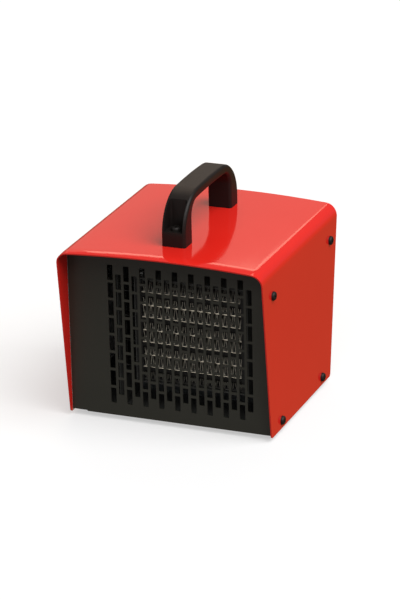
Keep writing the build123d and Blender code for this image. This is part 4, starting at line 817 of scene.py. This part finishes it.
def printed_ink():
    """Pad-printed ink: opaque white, thin enough to thin out a little towards the grain below."""
    patch_size = 0.6 * mm
    finish, tree, place = new_finish("pad_printed_ink_white")
    patch = add_node(tree, "ShaderNodeTexNoise", {"Vector": place, "Scale": 1 / patch_size, "Detail": 3.0})
    tones = {"Fac": patch.outputs["Fac"], "Color1": linear("#CFCDC6"), "Color2": linear("#F0EEE8")}
    tone = add_node(tree, "ShaderNodeMixRGB", tones)
    skin = {"Base Color": tone.outputs["Color"], "Roughness": 0.55, "IOR": 1.5}
    shader = add_node(tree, "ShaderNodeBsdfPrincipled", skin)
    add_node(tree, "ShaderNodeOutputMaterial", {"Surface": shader.outputs["BSDF"]})
    return finish


def rounded_copy(name, node_name, edge_round, finish, flat_angle, reshape=None):
    """A copy of a CAD node with its triangles joined, its corners rounded and its curves smooth.

    Facets that meet within flat_angle, in degrees, become one face. Reshape may bend the joined mesh.
    """
    join_within = 0.002 * mm
    curve_angle = math.radians(25)
    corner_angle = math.radians(32)
    mesh = nodes[node_name].data.copy()
    mesh.name = name
    joined = bmesh.new()
    joined.from_mesh(mesh)
    bmesh.ops.remove_doubles(joined, verts=joined.verts, dist=join_within)
    limit = {"angle_limit": math.radians(flat_angle), "verts": joined.verts, "edges": joined.edges}
    bmesh.ops.dissolve_limit(joined, **limit)
    if reshape:
        reshape(joined)
    joined.to_mesh(mesh)
    joined.free()
    if mesh.has_custom_normals:
        mesh.attributes.remove(mesh.attributes["custom_normal"])
    mesh.materials.clear()
    mesh.materials.append(finish)
    mesh.shade_smooth()
    mesh.set_sharp_from_angle(angle=curve_angle)
    piece = new_piece(name, mesh)
    bevel = piece.modifiers.new("edges", "BEVEL")
    bevel.width = edge_round
    bevel.segments = 2
    bevel.limit_method = "ANGLE"
    bevel.angle_limit = corner_angle
    bevel.harden_normals = True
    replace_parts(settle(piece), node_name)
    return piece


black_plastic = moulded_plastic()
white_ink = printed_ink()
for control in ("mode", "thermostat"):
    dress(zinc_steel, control + "_spindle")
    knob_name = control + "_knob"
    knob = rounded_copy(knob_name + "_moulding", knob_name, knob_round, black_plastic, flat_angle=0.05)
    knob.data.materials.append(white_ink)
    knob_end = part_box(knob_name)[1].y
    for face in knob.data.polygons:
        if face.center.y > knob_end - pointer_top and face.normal.y > outward_share:
            face.material_index = 1
    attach(knob, control + "_dial")
dress(zinc_steel, "control_nuts")

# Dial marks
# Ticks and numbers round the two knobs, so that a pointer can be set: four places for the switch and a scale
# for the thermostat. Pad printed on the powder coat of the rear panel.
tick_start = 16.2 * mm
tick_length = 1.8 * mm
tick_width = 0.5 * mm
print_height = 0.06 * mm
number_radius = 20.3 * mm
number_size = 3.6 * mm
switch_places = (-67.5, -22.5, 22.5, 67.5)  # degrees clockwise from the top, seen from behind
scale_numbers = {-135: "0", -45: "2", 45: "4", 135: "6"}
scale_ticks = 25


def tick_tree():
    """Printed ticks on an arc on the rear panel, at equal steps from the first angle to the last."""
    inputs = {"Start": "Geometry", "Middle": "Vector", "Ticks": "Int"}
    floats = ["First Angle", "Last Angle", "Ring Radius", "Tick Width", "Tick Length", "Tick Height"]
    inputs.update({label: "Float" for label in floats})
    inputs["Finish"] = "Material"
    tree, given = new_tree("dial_ticks", inputs)
    span = {"X": given["Tick Width"], "Y": given["Tick Height"], "Z": given["Tick Length"]}
    size = add_node(tree, "ShaderNodeCombineXYZ", span).outputs["Vector"]
    tick = add_node(tree, "GeometryNodeMeshCube", {"Size": size}).outputs["Mesh"]
    out = add_node(tree, "ShaderNodeCombineXYZ", {"Z": given["Ring Radius"]}).outputs["Vector"]
    raised = add_node(tree, "GeometryNodeTransform", {"Geometry": tick, "Translation": out})
    row = add_node(tree, "GeometryNodeMeshLine", {"Count": given["Ticks"], "Offset": (0, 0, 0)})
    number = add_node(tree, "GeometryNodeInputIndex").outputs["Index"]
    last = add_node(tree, "ShaderNodeMath", {0: given["Ticks"], 1: 1.0}, operation="SUBTRACT")
    steps = {
        "Value": number,
        "From Max": last.outputs["Value"],
        "To Min": given["First Angle"],
        "To Max": given["Last Angle"],
    }
    angle = add_node(tree, "ShaderNodeMapRange", steps).outputs["Result"]
    turn = add_node(tree, "FunctionNodeAxisAngleToRotation", {"Axis": (0, -1, 0), "Angle": angle})
    spread = {
        "Points": row.outputs["Mesh"],
        "Instance": raised.outputs["Geometry"],
        "Rotation": turn.outputs["Rotation"],
    }
    ring = add_node(tree, "GeometryNodeInstanceOnPoints", spread)
    moved = {"Geometry": ring.outputs["Instances"], "Translation": given["Middle"]}
    placed = add_node(tree, "GeometryNodeTransform", moved)
    end_tree(tree, placed.outputs["Geometry"], given["Finish"])
    return tree


def number_mesh(text, middle, angle):
    """One printed number of a dial, at an angle clockwise from the top as seen from behind."""
    words = bpy.data.curves.new("dial_number", "FONT")
    words.body = text
    words.size = number_size
    words.align_x = "CENTER"
    words.align_y = "CENTER"
    words.extrude = print_height / 2
    holder = new_piece("dial_number", words)
    graph = bpy.context.evaluated_depsgraph_get()
    mesh = bpy.data.meshes.new_from_object(holder.evaluated_get(graph))
    bpy.data.objects.remove(holder)
    bearing = math.radians(angle)
    spot = middle + Vector((-math.sin(bearing), 0, math.cos(bearing))) * number_radius
    # Words run towards -X, stand up along Z and face the rear
    facing = Matrix(((-1, 0, 0, spot.x), (0, 0, 1, spot.y), (0, 1, 0, spot.z), (0, 0, 0, 1)))
    mesh.transform(facing)
    return mesh


ticks = tick_tree()
panel_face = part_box("control_nuts")[0].y
dial_numbers = bmesh.new()
switch_numbers = {place: str(i) for i, place in enumerate(switch_places)}
dials = (("mode", switch_numbers, len(switch_places)), ("thermostat", scale_numbers, scale_ticks))
for control, numbers, tick_count in dials:
    spindle_low, spindle_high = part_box(control + "_spindle")
    middle = (spindle_low + spindle_high) / 2
    middle.y = panel_face + print_height / 2
    ring_sizes = {
        "Middle": middle,
        "Ticks": tick_count,
        "First Angle": math.radians(min(numbers)),
        "Last Angle": math.radians(max(numbers)),
        "Ring Radius": tick_start + tick_length / 2,
        "Tick Width": tick_width,
        "Tick Length": tick_length,
        "Tick Height": print_height,
        "Finish": white_ink,
    }
    ring = grow(control + "_dial_ticks", bpy.data.meshes.new("dial_start"), ticks, ring_sizes)
    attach(ring, "case")
    for angle, text in numbers.items():
        dial_numbers.from_mesh(number_mesh(text, middle, angle))
bmesh.ops.remove_doubles(dial_numbers, verts=dial_numbers.verts, dist=same_spot)
bmesh.ops.recalc_face_normals(dial_numbers, faces=dial_numbers.faces)
number_data = bpy.data.meshes.new("dial_numbers")
dial_numbers.to_mesh(number_data)
dial_numbers.free()
number_data.materials.append(white_ink)
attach(new_piece("dial_numbers", number_data), "case")

# Front grille
# A black sheet across the mouth of the case, punched with staggered slots and folded back at its foot.
# Powder coated like the rear panel; the punched edges are slightly rounded by the coat.
slot_round = 0.2 * mm
grille = rounded_copy("grille_sheet", "front_grille", slot_round, black_powder, flat_angle=0.2)
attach(grille, "case")

# Cover
# One red sheet folded over the chassis: a crowned top, which overhangs the grille, and two raked walls.
# 1.2 mm steel, sprayed with gloss enamel and stoved, so that its edges are softened by the paint.
cover_round = 0.35 * mm
crown = 4.2 * mm  # the crest of the top over its side edges
lip_reach = 13 * mm
lip_radius = 80 * mm
lip_steps = 6
lip_blend = 16 * mm  # the roll fades out this far below the crest, in the bends


def stoved_enamel():
    """Gloss enamel: saturated red under sharp reflections, which waver a little over the orange peel.

    The spray does not reach the inside between the grille and the rear panel, which keeps its pale primer.
    """
    peel_size = 4 * mm
    flow_size = 70 * mm
    inward = -5 * mm  # an inside face looks at least this far towards the middle
    case_low, case_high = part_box("cover")
    inside_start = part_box("front_grille")[0].y
    inside_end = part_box("control_nuts")[0].y
    finish, tree, place = new_finish("stoved_gloss_enamel_red")
    peel = add_node(tree, "ShaderNodeTexNoise", {"Vector": place, "Scale": 1 / peel_size, "Detail": 1.0})
    flow = add_node(tree, "ShaderNodeTexNoise", {"Vector": place, "Scale": 1 / flow_size})
    tones = {"Fac": flow.outputs["Fac"], "Color1": linear("#E4231B"), "Color2": linear("#EA2A20")}
    tone = add_node(tree, "ShaderNodeMixRGB", tones)
    # A face is inside where it looks towards the middle of the case, which runs along Y
    outward = add_node(tree, "ShaderNodeMapping", {"Vector": place, "Scale": (1, 0, 1)})
    outward.inputs["Location"].default_value = (0, 0, -(case_low.z + case_high.z) / 2)
    looks = add_node(tree, "ShaderNodeNewGeometry").outputs["Normal"]
    facing = {0: outward.outputs["Vector"], 1: looks}
    away = add_node(tree, "ShaderNodeVectorMath", facing, operation="DOT_PRODUCT").outputs["Value"]
    inner = add_node(tree, "ShaderNodeMath", {0: away, 1: inward}, operation="LESS_THAN").outputs["Value"]
    depth = add_node(tree, "ShaderNodeSeparateXYZ", {"Vector": place}).outputs["Y"]
    behind = add_node(tree, "ShaderNodeMath", {0: depth, 1: inside_start}, operation="GREATER_THAN")
    before = add_node(tree, "ShaderNodeMath", {0: depth, 1: inside_end}, operation="LESS_THAN")
    closed_in = {0: behind.outputs["Value"], 1: before.outputs["Value"]}
    within = add_node(tree, "ShaderNodeMath", closed_in, operation="MULTIPLY").outputs["Value"]
    unshaded_or_unsprayed = add_node(tree, "ShaderNodeMath", {0: inner, 1: within}, operation="MULTIPLY").outputs["Value"]
    layers = {"Fac": unshaded_or_unsprayed, "Color1": tone.outputs["Color"], "Color2": linear("#D6D5D1")}
    paint = add_node(tree, "ShaderNodeMixRGB", layers)
    limits = {"Value": flow.outputs["Fac"], "To Min": 0.06, "To Max": 0.1}
    gloss = add_node(tree, "ShaderNodeMapRange", limits)
    bumps = {"Height": peel.outputs["Fac"], "Distance": 0.02 * mm, "Strength": 0.25}
    bump = add_node(tree, "ShaderNodeBump", bumps)
    skin = {
        "Base Color": paint.outputs["Color"],
        "Roughness": gloss.outputs["Result"],
        "IOR": 1.5,
        "Normal": bump.outputs["Normal"],
    }
    shader = add_node(tree, "ShaderNodeBsdfPrincipled", skin)
    add_node(tree, "ShaderNodeOutputMaterial", {"Surface": shader.outputs["BSDF"]})
    return finish


def roll_front_lip(sheet):
    """Roll the front of the top down a little, in an arc that starts behind its edge."""
    low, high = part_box("cover")
    start = low.y + lip_reach
    for i in range(lip_steps):
        whole = {"geom": sheet.verts[:] + sheet.edges[:] + sheet.faces[:], "dist": same_spot}
        cut = (0, start - lip_reach * i / lip_steps, 0)
        bmesh.ops.bisect_plane(sheet, plane_co=cut, plane_no=(0, 1, 0), **whole)
    for corner in sheet.verts:
        ahead = start - corner.co.y
        share = (corner.co.z - high.z + lip_blend) / (lip_blend - crown)
        if ahead > 0 and share > 0:
            corner.co.z -= min(share, 1) * ahead**2 / (2 * lip_radius)


enamel = stoved_enamel()
cover = rounded_copy("cover_sheet", "cover", cover_round, enamel, flat_angle=0.02, reshape=roll_front_lip)
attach(cover, "case")

# Cover screws
# Eight larger pan-head screws through the walls, into the folded flanges behind them.
# Blackened steel.
cover_head = 8.4 * mm
cover_shank = 4.0 * mm
cover_length = 7.0 * mm


def black_oxide():
    """Blackened steel: dark oiled metal with a thin satin shine, browner where the oxide is thin."""
    patch_size = 2 * mm
    finish, tree, place = new_finish("black_oxide_steel")
    patch = add_node(tree, "ShaderNodeTexNoise", {"Vector": place, "Scale": 1 / patch_size, "Detail": 4.0})
    tones = {"Fac": patch.outputs["Fac"], "Color1": linear("#141312"), "Color2": linear("#2E2825")}
    tone = add_node(tree, "ShaderNodeMixRGB", tones)
    limits = {"Value": patch.outputs["Fac"], "To Min": 0.42, "To Max": 0.6}
    gloss = add_node(tree, "ShaderNodeMapRange", limits)
    skin = {"Base Color": tone.outputs["Color"], "Metallic": 0.4, "Roughness": gloss.outputs["Result"]}
    shader = add_node(tree, "ShaderNodeBsdfPrincipled", skin)
    add_node(tree, "ShaderNodeOutputMaterial", {"Surface": shader.outputs["BSDF"]})
    return finish


blackened = black_oxide()
screw_group("cover_screws", cover_head, cover_shank, cover_length, blackened)

# Handle
# A bow along the middle of the top, with a well in the outside of each leg where a driver reaches its screw.
# Moulded in black plastic, and pulled down onto the cover by two screws with washers and nuts below.
handle_round = 0.5 * mm
handle = rounded_copy("handle_moulding", "handle", handle_round, black_plastic, flat_angle=0.02)
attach(handle, "case")
dress(blackened, "handle_screws")
dress(zinc_steel, "handle_washers", "handle_nuts")

# Camera
# Where the photograph was taken from: its direction, roll and distance, and how far the heater sits off the
# middle of the picture.
view_azimuth = math.radians(22.10)
view_elevation = math.radians(21.02)
view_roll = math.radians(-1.32)
view_distance = 2.943
view_aim = Vector((0, 0, 90 * mm))
aim_right = 0.59 * mm  # the aim point lies this far right of the picture's middle
aim_below = 6.85 * mm
lens = 189.56
sensor = 36.0
scene = bpy.context.scene
flat_back = Vector((math.sin(view_azimuth), -math.cos(view_azimuth), 0))
back = flat_back * math.cos(view_elevation) + Vector((0, 0, math.sin(view_elevation)))
level = Vector((math.cos(view_azimuth), math.sin(view_azimuth), 0))
rise = back.cross(level)
right = level * math.cos(view_roll) + rise * math.sin(view_roll)
up = rise * math.cos(view_roll) - level * math.sin(view_roll)
camera_data = bpy.data.cameras.new("camera")
camera_data.lens = lens
camera_data.sensor_width = sensor
camera = bpy.data.objects.new("camera", camera_data)
scene.collection.objects.link(camera)
camera_spot = view_aim + back * view_distance - right * aim_right + up * aim_below
camera.matrix_world = Matrix.Translation(camera_spot) @ Matrix((right, up, back)).transposed().to_4x4()
scene.camera = camera

# Backdrop
# A white paper bowl that only the camera sees, so that the paint is lit and mirrored by the darker studio.
# Half of its white is its own glow, which keeps the floor pale and leaves the heater a soft shadow.
bowl_floor = 2.4
bowl_rim = 6.0
bowl_height = 3.5
bowl_rings = 24
bowl_sides = 96
glow_share = 0.5
bowl_mesh = bmesh.new()
bowl_loops = []
for i in range(bowl_rings + 1):
    climb = math.pi / 2 * i / bowl_rings
    radius = bowl_floor + (bowl_rim - bowl_floor) * math.sin(climb)
    height = bowl_height * (1 - math.cos(climb))
    loop = []
    for k in range(bowl_sides):
        bearing = math.tau * k / bowl_sides
        loop.append(bowl_mesh.verts.new((radius * math.cos(bearing), radius * math.sin(bearing), height)))
    bowl_loops.append(loop)
bowl_mesh.faces.new(bowl_loops[0])
for inner, outer in zip(bowl_loops, bowl_loops[1:]):
    for k in range(bowl_sides):
        after = (k + 1) % bowl_sides
        bowl_mesh.faces.new((inner[k], outer[k], outer[after], inner[after]))
bowl_data = bpy.data.meshes.new("bowl")
bowl_mesh.to_mesh(bowl_data)
bowl_mesh.free()
bowl_data.shade_smooth()
bowl = new_piece("bowl", bowl_data)
bowl.visible_diffuse = False
bowl.visible_glossy = False
bowl.visible_shadow = False
paper = bpy.data.materials.new("white_paper_sweep")
paper.use_nodes = True
paper_tree = paper.node_tree
paper_tree.nodes.clear()
paper_skin = add_node(paper_tree, "ShaderNodeBsdfDiffuse", {"Color": linear("#FFFFFF")})
paper_glow = add_node(paper_tree, "ShaderNodeEmission", {"Color": linear("#FFFFFF"), "Strength": 1.0})
paper_parts = {"Fac": glow_share, 1: paper_skin.outputs["BSDF"], 2: paper_glow.outputs["Emission"]}
paper_mix = add_node(paper_tree, "ShaderNodeMixShader", paper_parts)
add_node(paper_tree, "ShaderNodeOutputMaterial", {"Surface": paper_mix.outputs["Shader"]})
bowl_data.materials.append(paper)

# Studio
# A grey room over a floor that is warmer behind the heater, a soft key from the upper right, and softboxes.
# The top mirrors the three boxes behind it, the one in front lights the grille, and a fill beside the camera
# reaches into the slots.
sky = "#7C7C7C"
floor_front = "#7E7C79"
floor_rear = "#8C6B48"
warm_white = "#FFE6CC"
patch_core = math.radians(6)
patch_edge = math.radians(11)
patch_strength = 4.2
key_strength = 0.85
key_softness = math.radians(50)
key_direction = Vector((0.56, -0.14, 0.78))
lamp_distance = 2.2
scene.view_settings.view_transform = "Standard"
world = bpy.data.worlds.new("studio")
scene.world = world
world.use_nodes = True
room = world.node_tree
room.nodes.clear()
ray = add_node(room, "ShaderNodeTexCoord").outputs["Generated"]
ray_parts = add_node(room, "ShaderNodeSeparateXYZ", {"Vector": ray})
rear_share = {"Value": ray_parts.outputs["Y"], "From Min": -0.2, "From Max": 0.4}
rearward = add_node(room, "ShaderNodeMapRange", rear_share).outputs["Result"]
floor_tones = {"Fac": rearward, "Color1": linear(floor_front), "Color2": linear(floor_rear)}
floor_tone = add_node(room, "ShaderNodeMixRGB", floor_tones).outputs["Color"]
sky_share = {"Value": ray_parts.outputs["Z"], "From Min": -0.1, "From Max": 0.1}
horizon = add_node(room, "ShaderNodeMapRange", sky_share).outputs["Result"]
room_tones = {"Fac": horizon, "Color1": floor_tone, "Color2": linear(sky)}
room_tone = add_node(room, "ShaderNodeMixRGB", room_tones)
# A brighter patch of floor, where upright edges that face the front mirror it to the camera
nearness = {0: ray, 1: (-back.x, back.y, -back.z)}
patch = add_node(room, "ShaderNodeVectorMath", nearness, operation="DOT_PRODUCT").outputs["Value"]
patch_limits = {
    "Value": patch,
    "From Min": math.cos(patch_edge),
    "From Max": math.cos(patch_core),
    "To Min": 1.0,
    "To Max": patch_strength,
}
strength = add_node(room, "ShaderNodeMapRange", patch_limits).outputs["Result"]
room_parts = {"Color": room_tone.outputs["Color"], "Strength": strength}
room_light = add_node(room, "ShaderNodeBackground", room_parts)
add_node(room, "ShaderNodeOutputWorld", {"Surface": room_light.outputs["Background"]})


def softbox(name, direction, width, height, brightness, tint="#FFFFFF"):
    """A flat lamp that faces the top of the heater; a brightness of 1 is white paper in plain light."""
    lamp = bpy.data.lights.new(name, "AREA")
    lamp.shape = "RECTANGLE"
    lamp.size = width
    lamp.size_y = height
    lamp.energy = brightness * math.pi * width * height
    lamp.color = linear(tint)[:3]
    holder = bpy.data.objects.new(name, lamp)
    scene.collection.objects.link(holder)
    top_middle = Vector((0, 0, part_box("cover")[1].z))
    holder.location = top_middle + Vector(direction).normalized() * lamp_distance
    holder.rotation_euler = Vector(direction).to_track_quat("Z", "Y").to_euler()
    holder.visible_camera = False


key_lamp = bpy.data.lights.new("key", "SUN")
key_lamp.energy = key_strength * math.pi
key_lamp.angle = key_softness
key = bpy.data.objects.new("key", key_lamp)
scene.collection.objects.link(key)
key.rotation_euler = key_direction.to_track_quat("Z", "Y").to_euler()
softbox("rear_softbox", (-0.36, 0.866, 0.30), width=1.2, height=0.8, brightness=0.42, tint=warm_white)
softbox("rear_strip", (-0.27, 0.866, 0.475), width=1.0, height=0.2, brightness=1.6, tint=warm_white)
softbox("rear_sky", (-0.25, 0.60, 0.77), width=1.4, height=0.6, brightness=2.4, tint=warm_white)
softbox("front_softbox", (0.22, -0.72, 0.70), width=0.9, height=0.7, brightness=4.0)
softbox("camera_fill", (0.35, -0.86, 0.36), width=0.5, height=0.5, brightness=2.3)
